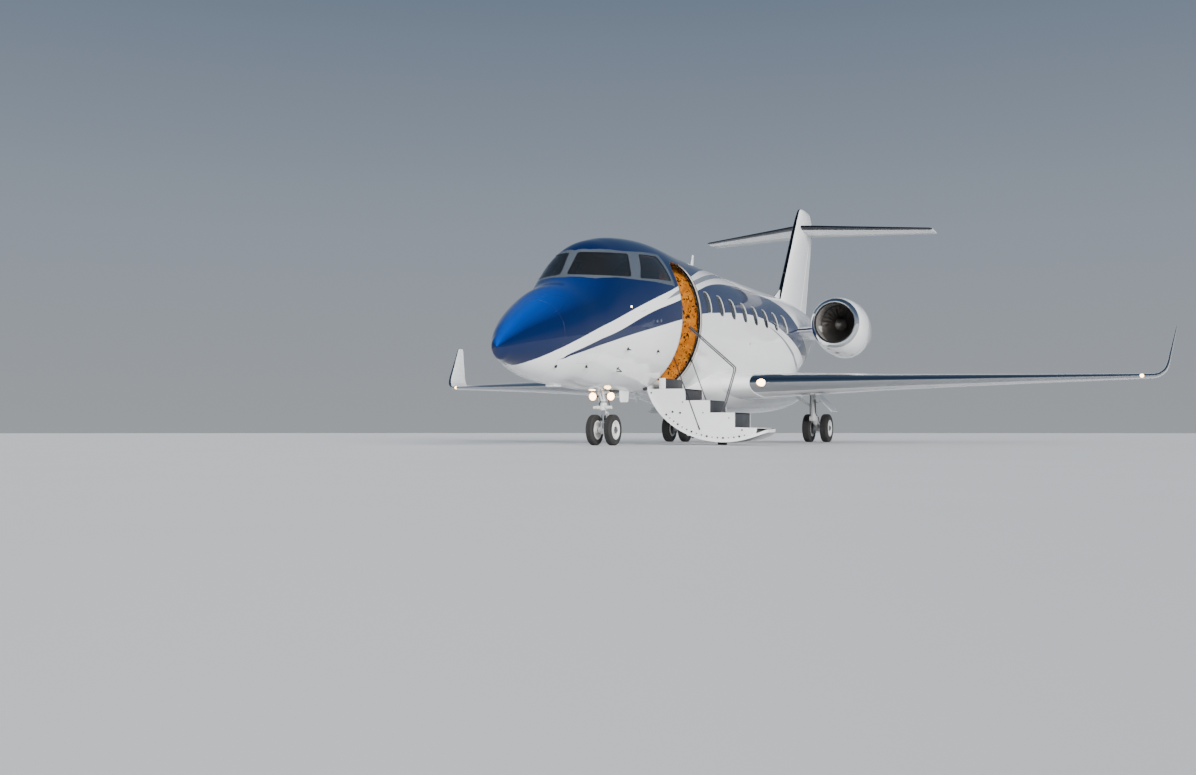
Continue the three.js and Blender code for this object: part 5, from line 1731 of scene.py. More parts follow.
@dataclass
class NoseGear:
    """The steered nose gear with its lights and doors."""

    station: float = 4.11
    wheels: WheelPair = WheelPair(0.0, 4.11, 0.281, 0.18, 0.281, 0.14, 0.165, 8)
    lamps: tuple = ((-0.18, 0.89, 0.08), (0.18, 0.89, 0.08))
    bay_half: float = 0.2197

    def leg(self) -> Solid:
        """The white outer cylinder with its trunnion, brace and collar."""
        base = at(0, self.station, 0)
        cylinder = Solid.lathe((
            (0.0, 0.642), (0.07, 0.642), (0.078, 0.65), (0.078, 0.712), (0.07, 0.724), (0.06, 0.732),
            (0.06, 0.96), (0.067, 0.968), (0.067, 1.0), (0.06, 1.008), (0.06, 1.09), (0.074, 1.1),
            (0.074, 1.2), (0.06, 1.21), (0.052, 1.35), (0.0, 1.35),
        ), base, UP, 48)
        edge = PORTWARD * self.bay_half
        trunnion = at(0, self.station, 1.15)
        brace = at(0, 3.85, 1.18)
        parts = [
            cylinder,
            Solid.pin(trunnion, edge, 0.04, bevel=0.006),
            Solid.pin(brace, edge, 0.028, bevel=0.005),
            Solid.rod(at(-0.17, self.station + 0.03, 0.89), at(0.17, self.station + 0.03, 0.89), 0.02),
            Solid.box(at(-0.13, self.station - 0.04, 0.955), at(0.13, self.station - 0.02, 1.0), 0.005),
        ]
        for side in (1, -1):
            shift = PORTWARD * 0.05 * side
            low = at(0, self.station - 0.03, 0.81) + shift * 0.4
            parts.append(Solid.rod(low, brace + shift, 0.02, 0.024))
            steer = at(side * 0.055, self.station - 0.05, 0.69)
            parts.append(Solid.rod(steer, steer + PORTWARD * side * 0.13, 0.03, bevel=0.006))
            parts.append(Solid.rod(steer + PORTWARD * side * 0.03, steer + PORTWARD * side * 0.05, 0.036))
        return Solid.joined(parts)

    def pipes(self) -> Solid:
        """Hoses and clips along the leg."""
        parts = []
        for side, drop in ((1, 0.0), (-1, 0.05)):
            path = ((0.07, 0.03, 1.3), (0.085, 0.045, 1.05 - drop), (0.075, 0.05, 0.85), (0.1, 0.02, 0.74),
                    (0.088, 0.01, 0.68))
            parts.append(Solid.tube([at(side * x, self.station + back, z) for x, back, z in path], 0.008))
        for z in (0.79, 0.92, 1.04):
            middle = at(0, self.station, z)
            parts.append(Solid.lathe(((0.0635, -0.008), (0.0665, -0.008), (0.0665, 0.008), (0.0635, 0.008)),
                                     middle, UP, 40))
        return Solid.joined(parts)

    def lamp(self, x: float, z: float, radius: float) -> tuple[Solid, Solid]:
        """A lamp's bowl and its lens, facing forward."""
        front = at(x, self.station - 0.09, z)
        bowl = Solid.lathe([(radius * r, along) for r, along in (
            (0.0, 0.13), (0.4, 0.128), (0.66, 0.105), (0.84, 0.06), (0.96, 0.022), (1.0, 0.016), (1.0, 0.0),
            (0.9, 0.0), (0.88, 0.012), (0.0, 0.013))], front, AFT, 40)
        lens = Solid.lathe([(radius * r, along) for r, along in (
            (0.0, 0.0015), (0.4, 0.0025), (0.7, 0.006), (0.87, 0.0115), (0.0, 0.0125))], front, AFT, 40)
        return bowl, lens

    def fork(self) -> Solid:
        """The chrome piston with the axle block."""
        base = at(0, self.station, 0)
        return Solid.lathe((
            (0.0, 0.2), (0.04, 0.205), (0.056, 0.23), (0.06, 0.28), (0.058, 0.34), (0.05, 0.37),
            (0.05, 0.42), (0.057, 0.428), (0.057, 0.45), (0.042, 0.458), (0.042, 0.6395), (0.0, 0.6395),
        ), base, UP, 48)

    def build(self) -> None:
        """Makes the nose gear."""
        show(self.leg(), "nose_leg_casting", LEG_WHITE, "airframe", ("nose_leg",))
        show(self.pipes(), "nose_leg_pipes", HOSE, "airframe")
        bowls, lenses = zip(*(self.lamp(*row) for row in self.lamps))
        show(Solid.joined(bowls), "nose_lamp_bowls", BRUSHED, "airframe")
        show(Solid.joined(lenses), "nose_lamp_lenses", LENS, "airframe")
        show(self.fork(), "nose_piston", CHROME, "nose_steering", ("nose_fork",))
        hub = at(0, self.station, self.wheels.axle_z)
        block = Solid.joined([
            Solid.lathe(((0.0385, -0.088), (0.058, -0.088), (0.062, -0.07), (0.062, 0.07), (0.058, 0.088),
                         (0.0385, 0.088)), hub, PORTWARD, 40),
            torque_link(at(0, 4.3, 0.47), at(0, 4.165, 0.6), at(0, 4.16, 0.34)),
            Solid.box(at(-0.04, 4.13, 0.32), at(0.04, 4.17, 0.36), 0.006),
            Solid.box(at(-0.04, 4.13, 0.58), at(0.04, 4.17, 0.62), 0.006),
        ])
        show(block, "nose_axle_block", LEG_WHITE, "nose_steering")
        tyres = {1: "nose_tyre_port", -1: "nose_tyre_starboard"}
        self.wheels.show("nose_wheel", "nose_wheels", Side.PORT, tyres, "nose_wheels")
        for side in Side:
            self.door(side)

    def door(self, side: Side) -> None:
        """A bay door with a rounded outline, ribs and its link rod."""
        corners = [at(self.bay_half, station, z) for station, z in ((4.32, 1.09), (4.77, 1.09), (4.735, 0.8),
                                                                   (4.36, 0.79))]
        outer = Solid.slab(rounded(corners, 0.05), PORTWARD * 0.005)
        plate = outer.moved(Matrix.Translation((-0.0055, 0, 0)))
        ribs = [Solid.box(at(0.199, station, 0.83), at(0.211, station + 0.03, 1.08), 0.003)
                for station in (4.4, 4.53, 4.66)]
        rod = Solid.rod(at(0.19, 4.5, 0.96), at(0.09, 4.42, 1.24), 0.011)
        node = f"nose_gear_door_{side.label}"
        show(Solid.joined([plate, *ribs, rod]).on(side), f"{node}_panel", WHITE_PAINT, "airframe",
             (node,))


@dataclass
class MainGear:
    """One trailing-link main gear and its mirror, drawn to port."""

    x: float = 1.79
    knee: float = 12.13
    knee_z: float = 0.56
    wheels: WheelPair = WheelPair(1.79, 12.51, 0.333, 0.211, 0.333, 0.19, 0.19)
    top: float = 1.238
    door_line: tuple = ((1.921, 1.232), (1.921, 1.14), (1.955, 1.07), (2.08, 0.945), (2.2, 0.82),
                        (2.3, 0.715))

    def leg(self) -> Solid:
        """The white post, knee, trailing arm and brace."""
        axle = at(self.x, self.wheels.station, self.wheels.axle_z)
        knee = at(self.x, self.knee, self.knee_z)
        post = Solid.lathe((
            (0.0, 0.5), (0.05, 0.502), (0.066, 0.52), (0.072, 0.56), (0.072, 0.66), (0.066, 0.68),
            (0.066, 0.9), (0.073, 0.91), (0.073, 0.96), (0.066, 0.97), (0.07, self.top), (0.0, self.top),
        ), at(self.x, self.knee, 0), UP, 48)
        arm = Solid.rod(knee, axle, 0.06, 0.05)
        hub = Solid.lathe(((0.0385, -0.09), (0.062, -0.09), (0.068, -0.07), (0.068, 0.07), (0.062, 0.09),
                           (0.0385, 0.09)), axle, PORTWARD, 40)
        pin = Solid.pin(knee, PORTWARD * 0.09, 0.062, bevel=0.008)
        brace = Solid.rod(at(self.x - 0.04, self.knee, 0.83), at(1.3, 12.1, 1.14), 0.032, 0.028)
        jack = Solid.rod(at(self.x + 0.03, self.knee - 0.02, 0.98), at(1.9, 11.95, 1.16), 0.022)
        return Solid.joined([post, arm.without(Solid.pin(axle, PORTWARD, 0.0385)), hub, pin,
                             brace, jack])

    def shock(self) -> tuple[Solid, Solid]:
        """The shock strut: its chrome rod and its body."""
        low, high = at(self.x, 12.455, 0.405), at(self.x, 12.2, 0.97)
        middle = low.lerp(high, 0.45)
        rod = Solid.rod(low, middle, 0.022)
        body = Solid.joined([Solid.rod(middle, high, 0.036, bevel=0.005),
                             Solid.pin(low, PORTWARD * 0.05, 0.026, bevel=0.004),
                             Solid.pin(high, PORTWARD * 0.05, 0.028, bevel=0.004)])
        return rod, body

    def brakes(self) -> Solid:
        """The brake packs on the leg, inside each wheel."""
        axle = at(self.x, self.wheels.station, self.wheels.axle_z)
        rings = []
        for side in (1, -1):
            for k in range(3):
                base = axle + PORTWARD * side * (0.095 + 0.009 * k)
                rings.append(Solid.lathe(((0.045, 0.0), (0.135, 0.0), (0.135, 0.006), (0.045, 0.006)), base,
                                         PORTWARD * side, 48))
        return Solid.joined(rings)

    def hoses(self) -> Solid:
        """Brake hoses down the leg and the arm."""
        parts = []
        for side in (1, -1):
            path = ((0.05, -0.06, 1.2), (0.06, -0.07, 0.9), (0.07, -0.04, 0.66), (0.09, 0.1, 0.58),
                    (0.075, 0.24, 0.47), (0.1, 0.33, 0.42))
            spots = [at(self.x + side * x, self.knee + back, z) for x, back, z in path]
            parts.append(Solid.tube(spots, 0.009))
        return Solid.joined(parts)

    def door(self) -> Solid:
        """The outer door, which hangs down and outwards from the wing, with its stiffener."""
        rows = catmull(self.door_line, 4)
        rings = []
        for k, (x, z) in enumerate(rows):
            share = k / (len(rows) - 1)
            start, end = 11.79 + 0.05 * share ** 2, 12.47 - 0.06 * share ** 2
            ahead = rows[min(k + 1, len(rows) - 1)]
            before = rows[max(k - 1, 0)]
            way = Vector((ahead[0] - before[0], 0, ahead[1] - before[1])).normalized()
            off = Vector((-way.z, 0, way.x)) * 0.011
            fore, back = at(x, start, z), at(x, end, z)
            rings.append([fore - off, back - off, back + off, fore + off])
        plate = Solid.sweep(rings)
        rib = Solid.box(at(1.93, 12.1, 0.96), at(2.0, 12.14, 1.02), 0.006)
        link = Solid.rod(at(1.87, 12.12, 0.93), at(2.02, 12.12, 0.98), 0.012)
        return Solid.joined([plate, rib, link])

    def build(self) -> None:
        """Makes both main gears."""
        rod, body = self.shock()
        door = self.door()
        show_pair(self.leg(), "main_leg_casting_{}", LEG_WHITE, "airframe", "main_leg_{}")
        show_pair(rod, "main_shock_rod_{}", CHROME, "airframe")
        show_pair(body, "main_shock_body_{}", LEG_WHITE, "airframe")
        show_pair(self.brakes(), "main_brakes_{}", STEEL, "airframe")
        show_pair(self.hoses(), "main_hoses_{}", HOSE, "airframe")
        show_pair(door, "main_gear_door_panel_{}", WHITE_PAINT, "airframe", "main_gear_door_{}")
        for side in Side:
            end = side.label
            tyres = {1: f"main_tyre_outer_{end}", -1: f"main_tyre_inner_{end}"}
            self.wheels.show(f"main_wheel_{end}", f"main_wheels_{end}", side, tyres, f"main_wheels_{end}")


# Airstair


@dataclass
class Airstair:
    """The fold-down door with its steps, rails and the fittings of the doorway.

    A step is (start across, end across, height), a spot on the side plate is (across, height, radius).
    """

    steps: tuple = ((0.46, 1.2, 1.05), (1.2, 1.68, 0.83), (1.68, 2.16, 0.6))
    end: tuple[float, float] = (2.74, 0.33)
    plates: tuple = ((5.125, 5.15), (6.05, 6.075))
    tread: float = 0.03
    mat_ribs: int = 9
    stay: tuple = ((0.93, 1.76), (1.48, 0.3))
    stay_stations: tuple[float, float] = (5.122, 6.078)
    rail: tuple = ((1.27, 2.205), (2.165, 1.418), (1.92, 0.601))
    rail_station: float = 5.206
    rail_shifts: tuple[float, float] = (-0.004, 0.028)
    rail_radius: float = 0.0115
    ties: tuple[float, float, float] = (0.3, 0.75, 0.5)
    spots: tuple = ((0.52, 0.98, 0.018), (1.35, 0.15, 0.026), (1.15, 0.8, 0.012), (1.55, 0.6, 0.012),
                    (2.05, 0.5, 0.012), (2.3, 0.28, 0.016), (0.95, 0.62, 0.02), (1.1, 0.6, 0.02))
    rim_degrees: tuple[float, float] = (60, 130)
    rim_spots: int = 17
    rim_radii: tuple[float, float, float] = (0.012, 0.02, 0.015)

    def shell(self) -> Solid:
        """The door's curved shell, in its closed place."""
        outer = HULL.body(5.0, 6.2, step=0.06).within(DOORWAY.prism(0.006))
        return outer.carve(HULL.body(4.9, 6.3, 0.045, step=0.06))

    def inside(self) -> Solid:
        """The room over the shell, in its open place."""
        room = HULL.body(5.0, 6.2, 0.0455, step=0.06).within(DOORWAY.prism(0.008, -0.3))
        return room.moved(DOORWAY.opening())

    def side_plates(self) -> Solid:
        """The two stringers, cut to the shell's curve."""
        outline: list[tuple[float, float]] = []
        for start, stop, top in self.steps:
            outline += [(start, top), (stop, top)]
        outline += [(self.steps[-1][1], self.end[1]), (self.end[0], self.end[1] - 0.02), (self.end[0], -0.6),
                    (self.steps[0][0], -0.6)]
        room = self.inside()
        plates = []
        for start, stop in self.plates:
            plate = Solid.sweep([[at(x, station, z) for x, z in outline] for station in (start, stop)])
            plates.append(plate.within(room))
        return Solid.joined(plates)

    def treads(self) -> tuple[Solid, Solid]:
        """The treads with their risers, and the ribbed mats on them."""
        start, stop = self.plates[0][1], self.plates[1][0]
        boards, mats = [], []
        for k, (near, far, top) in enumerate(self.steps):
            lower = self.steps[k + 1][2] if k + 1 < len(self.steps) else self.end[1]
            boards.append(Solid.box(at(near, start, top - self.tread), at(far, stop, top), 0.006))
            riser = at(far - self.tread, start, lower - 0.01), at(far, stop, top - 0.002)
            boards.append(Solid.box(*riser, 0.006))
            mats.append(Solid.box(at(near + 0.03, start + 0.03, top - 0.002),
                                  at(far - 0.03, stop - 0.03, top + 0.003), 0.001))
            for j in range(self.mat_ribs):
                x = mix(near + 0.06, far - 0.06, j / (self.mat_ribs - 1))
                ends = at(x, start + 0.045, top + 0.003), at(x, stop - 0.045, top + 0.003)
                mats.append(Solid.rod(*ends, 0.003, segments=8))
        far = self.steps[-1][1]
        boards.append(Solid.box(at(far - self.tread, start, self.end[1] - self.tread),
                                at(self.end[0] - 0.12, stop, self.end[1] - 0.022), 0.004))
        threshold = Solid.box(at(0.685, start - 0.02, 1.054), at(0.8, stop + 0.02, 1.25), 0.008)
        return Solid.joined([*boards, threshold]), Solid.joined(mats)

    def rods(self) -> Solid:
        """The two stays between the fuselage and the stair, with their end fittings."""
        (top_x, top_z), (foot_x, foot_z) = self.stay
        parts = []
        for station in self.stay_stations:
            top, foot = at(top_x, station, top_z), at(foot_x, station, foot_z)
            parts.append(Solid.rod(top, foot, 0.0085))
            for end, other in ((top, foot), (foot, top)):
                way = (other - end).normalized()
                parts.append(Solid.rod(end, end + way * 0.07, 0.0125, bevel=0.002))
                parts.append(Solid.pin(end, AFT * 0.012, 0.016, bevel=0.003))
        return Solid.joined(parts)

    def handrail(self) -> Solid:
        """Two tubes one above the other, bent at an elbow, with ties, dark sleeves and a shoe."""
        foot_x, foot_z = self.rail[-1]
        station = self.rail_station
        top, elbow, foot = (at(x, station, z) for x, z in self.rail)
        first, second = (elbow - top).normalized(), (foot - elbow).normalized()
        side = AFT.cross(first)
        other = AFT.cross(second)
        bend = (side + other) / (1 + side.dot(other))
        parts = []
        upper, lower = self.rail_shifts
        for shift in (upper, lower):
            start, corner, stop = top + side * shift, elbow + bend * shift, foot + other * shift
            before, after = corner - first * 0.07, corner + second * 0.07
            parts.append(Solid.tube([start, start.lerp(before, 0.5), before,
                                     corner.lerp(before.lerp(after, 0.5), 0.45), after, after.lerp(stop, 0.5),
                                     stop], self.rail_radius))
            parts.append(Solid.rod(start, start + first * 0.3, self.rail_radius + 0.0025, bevel=0.002))
        runs = ((top, elbow, side), (top, elbow, side), (elbow, foot, other))
        for (start, stop, across), share in zip(runs, self.ties):
            middle = start.lerp(stop, share)
            parts.append(Solid.rod(middle + across * upper, middle + across * lower, 0.009))
        shoe = Solid.box(at(foot_x - 0.045, station - 0.03, foot_z - 0.001),
                         at(foot_x + 0.045, station + 0.03, foot_z + 0.022), 0.005)
        return Solid.joined([*parts, shoe])

    def fittings(self) -> Solid:
        """Latch pins, bolts and catches on the stringers and the shell's rim."""
        front, back = self.plates[0][0], self.plates[1][1]
        spots = list(self.spots)
        for k in range(self.rim_spots):
            degrees = mix(*self.rim_degrees, k / (self.rim_spots - 1))
            rim = DOORWAY.opening() @ HULL.point(front, math.radians(degrees), 0.08)
            spots.append((rim.x, rim.z, self.rim_radii[k % 3]))
        parts = []
        for x, z, radius in spots:
            for start, stop in ((front - 0.009, front + 0.004), (back - 0.004, back + 0.009)):
                parts.append(Solid.rod(at(x, start, z), at(x, stop, z), radius, bevel=0.002, segments=20))
        return Solid.joined(parts)

    def build(self) -> None:
        """Makes the airstair and what is fixed in the doorway."""
        shell = show(self.shell(), "airstair_shell", (LIVERY, WHITE_PAINT), "airstair",
                     ("airstair_door",), pick=lambda polygon: 0 if HULL.outside(polygon) else 1)
        HULL.dress(shell)
        shell.data.transform(DOORWAY.opening())
        cheeks = [Solid.box(at(0.68, start, 1.05), at(0.805, stop, 1.257), 0.008)
                  for start, stop in self.plates]
        stringers = Solid.joined([self.side_plates(), *cheeks])
        show(stringers, "airstair_stringers", STRINGER, "airstair", ("airstair_steps",))
        boards, mats = self.treads()
        show(boards, "airstair_treads", TREAD_GREY, "airstair")
        show(mats, "airstair_mats", MAT, "airstair")
        show(self.rods(), "airstair_stays", DARK_ROD, "airstair")
        rails = self.handrail()
        show(rails, "airstair_rails", RAIL_METAL, "airstair", ("airstair_handrail",))
        show(self.fittings(), "airstair_fittings", BLACK, "airstair")
        foot = Solid.box(at(1.68, 5.56, 0.008), at(1.84, 5.65, 0.1), 0.012, 3)
        show(foot, "airstair_foot", RUBBER, "airstair")
        hinge_x, hinge_z = DOORWAY.hinge
        tube = Solid.rod(at(hinge_x, 5.102, hinge_z), at(hinge_x, 6.098, hinge_z), 0.034, bevel=0.004)
        show(tube, "airstair_hinge_tube", BRUSHED, "airstair")
        lugs = [Solid.rod(at(hinge_x, start, hinge_z), at(hinge_x, start + 0.06, hinge_z), 0.04, bevel=0.006)
                for start in (5.04, 6.1)]
        show(Solid.joined(lugs), "airstair_hinge_lugs", STEEL, "airframe")


STRINGER = GlossPaint("stringer_white", (0.8, 0.81, 0.82), 0.3, 0.16)
TREAD_GREY = Plastic("tread_grey", (0.04, 0.043, 0.05), 0.5, 300.0)
MAT = Plastic("tread_mat", (0.025, 0.026, 0.029), 0.7, 200.0)
DARK_ROD = Metal("dark_rod", (0.1, 0.1, 0.105), 0.34)
RAIL_METAL = Metal("rail_metal", (0.3, 0.3, 0.31), 0.24)


# Cockpit and cabin


@dataclass(frozen=True)
class Cushion:
    """A stuffed leather cushion drawn flat about the origin, with its crown along Z."""

    width: float
    depth: float
    thick: float
    channels: int = 3
    voxel: float = 0.016
    pressure: float = 4.0
    frames: int = 20
    cap: float = 0.012
    seam_depth: float = 0.012
    seam_half: float = 0.014
    crown: float = 0.012

    def core(self) -> bpy.types.Mesh:
        """The slightly smaller block that the stuffing fills out."""
        size = Vector((self.width, self.depth, self.thick)) - Vector((0.02, 0.02, 0.02))
        return Solid.box(-size / 2, size / 2, 0.035, 3).mesh

    def filled(self) -> bpy.types.Mesh:
        """The block remeshed and blown up as cloth, with each point's travel held to the cap."""
        piece = bpy.data.objects.new("filling", self.core())
        bpy.context.scene.collection.objects.link(piece)
        remesh = piece.modifiers.new("voxels", "REMESH")
        remesh.mode = "VOXEL"
        remesh.voxel_size = self.voxel
        graph = bpy.context.evaluated_depsgraph_get()
        rest = bpy.data.meshes.new_from_object(piece.evaluated_get(graph), depsgraph=graph)
        piece.modifiers.clear()
        piece.data = rest
        cloth = piece.modifiers.new("cloth", "CLOTH")
        cloth.settings.use_pressure = True
        cloth.settings.uniform_pressure_force = self.pressure
        cloth.settings.effector_weights.gravity = 0.0
        for number in range(1, self.frames + 1):
            bpy.context.scene.frame_set(number)
        graph = bpy.context.evaluated_depsgraph_get()
        swollen = bpy.data.meshes.new_from_object(piece.evaluated_get(graph), depsgraph=graph)
        for before, after in zip(rest.vertices, swollen.vertices):
            travel = after.co - before.co
            if travel.length > self.cap:
                travel *= self.cap / travel.length
            before.co += travel
        bpy.context.scene.frame_set(1)
        mesh = rest.copy()
        bpy.data.objects.remove(piece)
        return mesh

    def sewn(self) -> Solid:
        """The filled cushion with its channels drawn in and its top raised to a crown."""
        mesh = self.filled()
        for vert in mesh.vertices:
            co = vert.co
            if co.z > 0:
                share = (co.x / self.width + 0.5) * (self.channels + 1)
                dip = abs((share + 0.5) % 1.0 - 0.5) * self.width / (self.channels + 1)
                inner = max(0.0, min(1.0, (0.5 - abs(co.x) / self.width) * 8))
                co.z -= self.seam_depth * math.exp(-(dip / self.seam_half) ** 2) * inner
            dome = 1 - (2 * co.x / self.width) ** 2 * 0.5 - (2 * co.y / self.depth) ** 2 * 0.5
            co.z += self.crown * max(0.0, dome) * (1 if co.z > 0 else 0)
        return Solid(mesh)


@dataclass
class Seats:
    """The cabin and pilot seats: frames of panels and arms, and leather cushions."""

    floor: float = 1.66
    x: float = 0.64
    rows: tuple = ((7.15, -1), (8.7, 1), (10.1, 1), (11.6, 1))
    pilot_x: float = 0.43
    pilot_station: float = 4.45
    seat: Cushion = Cushion(0.42, 0.42, 0.15)
    back: Cushion = Cushion(0.42, 0.62, 0.13)
    head: Cushion = Cushion(0.28, 0.17, 0.09, 0)
    places: tuple = ((0, -0.03, 0.385), (0, 0.175, 0.72), (0, 0.2, 1.07))
    lean: float = -82.0

    def frame(self) -> Solid:
        """The shell, pedestal and arms of a seat that faces forward, about its place on the floor."""
        parts = [
            Solid.box(Vector((-0.17, -0.19, 0.0)), Vector((0.17, 0.19, 0.26)), 0.03),
            Solid.box(Vector((-0.245, -0.27, 0.26)), Vector((0.245, 0.27, 0.31)), 0.02),
            Solid.box(Vector((-0.235, 0.22, 0.3)), Vector((0.235, 0.275, 1.08)), 0.026, 3),
        ]
        for side in (1, -1):
            low, high = sorted((side * 0.205, side * 0.258))
            parts.append(Solid.box(Vector((low, -0.24, 0.3)), Vector((high, 0.25, 0.62)), 0.02, 3))
        return Solid.joined(parts)

    def place(self, x: float, station: float, facing: int) -> Matrix:
        """The turn and shift that carry a seat to its place."""
        turn = Matrix.Rotation(0.0 if facing > 0 else math.pi, 4, "Z")
        return Matrix.Translation(at(x, station, self.floor)) @ turn

    def build(self) -> None:
        """Makes every seat from one frame and three cushions."""
        frame_solid = self.frame()
        flat = Matrix.Identity(4)
        upright = Matrix.Rotation(math.radians(self.lean), 4, "X") @ Matrix.Rotation(math.pi, 4, "X")
        parts = [
            cushion.sewn().moved(Matrix.Translation(place) @ turn)
            for cushion, place, turn in zip((self.seat, self.back, self.head), self.places,
                                            (flat, upright, upright))
        ]
        pilots = []
        for side in Side:
            end = side.label
            frames = []
            for number, (station, facing) in enumerate(self.rows, 1):
                matrix = self.place(self.x * side.value, station, facing)
                frames.append(frame_solid.moved(matrix))
                self.cushions(f"cabin_seat_{end}_{number}", parts, matrix, HIDE)
            track = Solid.box(at(self.x - 0.13, 6.95, 1.6405), at(self.x + 0.13, 11.8, 1.66), 0.003).on(side)
            show(Solid.joined([*frames, track]), f"cabin_seat_frames_{end}", SEAT_SHELL, "airframe",
                 (f"cabin_seats_{end}",))
            matrix = self.place(self.pilot_x * side.value, self.pilot_station, 1)
            self.cushions(f"pilot_seat_{end}", parts, matrix, COCKPIT_HIDE)
            pilots.append(frame_solid.moved(matrix))
        show(Solid.joined(pilots), "pilot_seat_frames", BLACK, "airframe", ("pilot_seats",))

    def cushions(self, name: str, parts: Sequence[Solid], matrix: Matrix, finish: Finish) -> None:
        """Shows the cushions of one seat."""
        for part, word in zip(parts, ("seat", "back", "head")):
            piece = show(part.moved(matrix), f"{name}_{word}", finish, "airframe", sharp=80)


@dataclass
class Cockpit:
    """The instrument panel, its shade, the pedestal and the control wheels."""

    front: float = 2.64
    top: float = 2.89
    screens: tuple = (-0.62, -0.25, 0.25, 0.62)
    knobs: tuple = (-0.12, -0.04, 0.04, 0.12)
    wheel_x: float = 0.43
    wheel: tuple = ((-0.15, 0.1), (-0.14, 0.02), (0.0, 0.0), (0.14, 0.02), (0.15, 0.1))

    def build(self) -> None:
        """Makes what shows through the windscreen."""
        room = HULL.body(2.34, 5.0, 0.075, step=0.3)
        shade = Solid.box(at(-0.9, self.front, 2.81), at(0.9, 3.36, self.top), 0.02, 3)
        shade = shade.within(room)
        show(shade, "glareshield", SHADE, "airframe", ("instrument_panel",))
        panel = Solid.box(at(-0.88, 3.2, 2.35), at(0.88, 3.3, 2.82), 0.01).within(room)
        pedestal = [
            Solid.box(at(-0.15, 3.28, 1.641), at(0.15, 4.03, 2.21), 0.02, 3),
            Solid.box(at(-0.15, 3.27, 2.15), at(0.15, 3.34, 2.5), 0.01),
        ]
        show(Solid.joined([panel, *pedestal]), "instrument_board", BOARD, "airframe")
        bezels, screens, knobs = [], [], []
        for x in self.screens:
            bezels.append(Solid.box(at(x - 0.17, 3.298, 2.47), at(x + 0.17, 3.31, 2.76), 0.006))
            screens.append(Solid.box(at(x - 0.15, 3.305, 2.5), at(x + 0.15, 3.3125, 2.73), 0.003))
            knobs += [Solid.rod(at(x + shift, 3.3, 2.42), at(x + shift, 3.325, 2.42), 0.012, bevel=0.002)
                      for shift in self.knobs]
        for x in (-0.045, 0.045):
            knobs.append(Solid.rod(at(x, 3.62, 2.2), at(x, 3.58, 2.33), 0.012))
            knobs.append(Solid.rod(at(x - 0.03, 3.58, 2.33), at(x + 0.03, 3.58, 2.33), 0.02, bevel=0.004))
        for side in Side:
            x = side.value * self.wheel_x
            grip = at(x, 3.52, 2.32)
            knobs.append(Solid.tube([at(x, 3.5, 1.95), at(x, 3.46, 2.15), grip], 0.022))
            knobs.append(Solid.tube([grip + Vector((across, 0.0, up)) for across, up in self.wheel], 0.016))
        show(Solid.joined(bezels), "screen_bezels", BLACK, "airframe")
        show(Solid.joined(screens), "screens", SCREEN, "airframe")
        show(Solid.joined(knobs), "cockpit_controls", BLACK, "airframe")


@dataclass
class Cabin:
    """The carried-over floor and veneered bulkhead, with the lamps that light the entry."""

    def build(self) -> None:
        """Dresses the carried-over nodes and hangs the entry lights."""
        for name, finish in (("cabin_floor", CARPET), ("entry_bulkhead", BURL)):
            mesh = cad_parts[name].data
            mesh.materials.clear()
            mesh.materials.append(finish.material())
        strips = []
        for side in Side:
            middle = at(0.33 * side.value, 5.6, 3.79)
            low, high = middle - Vector((0.03, 0.4, 0.008)), middle + Vector((0.03, 0.4, 0.0))
            strips.append(Solid.box(low, high, 0.003))
        show(Solid.joined(strips), "entry_lights", CEILING_LIGHT, "airframe")


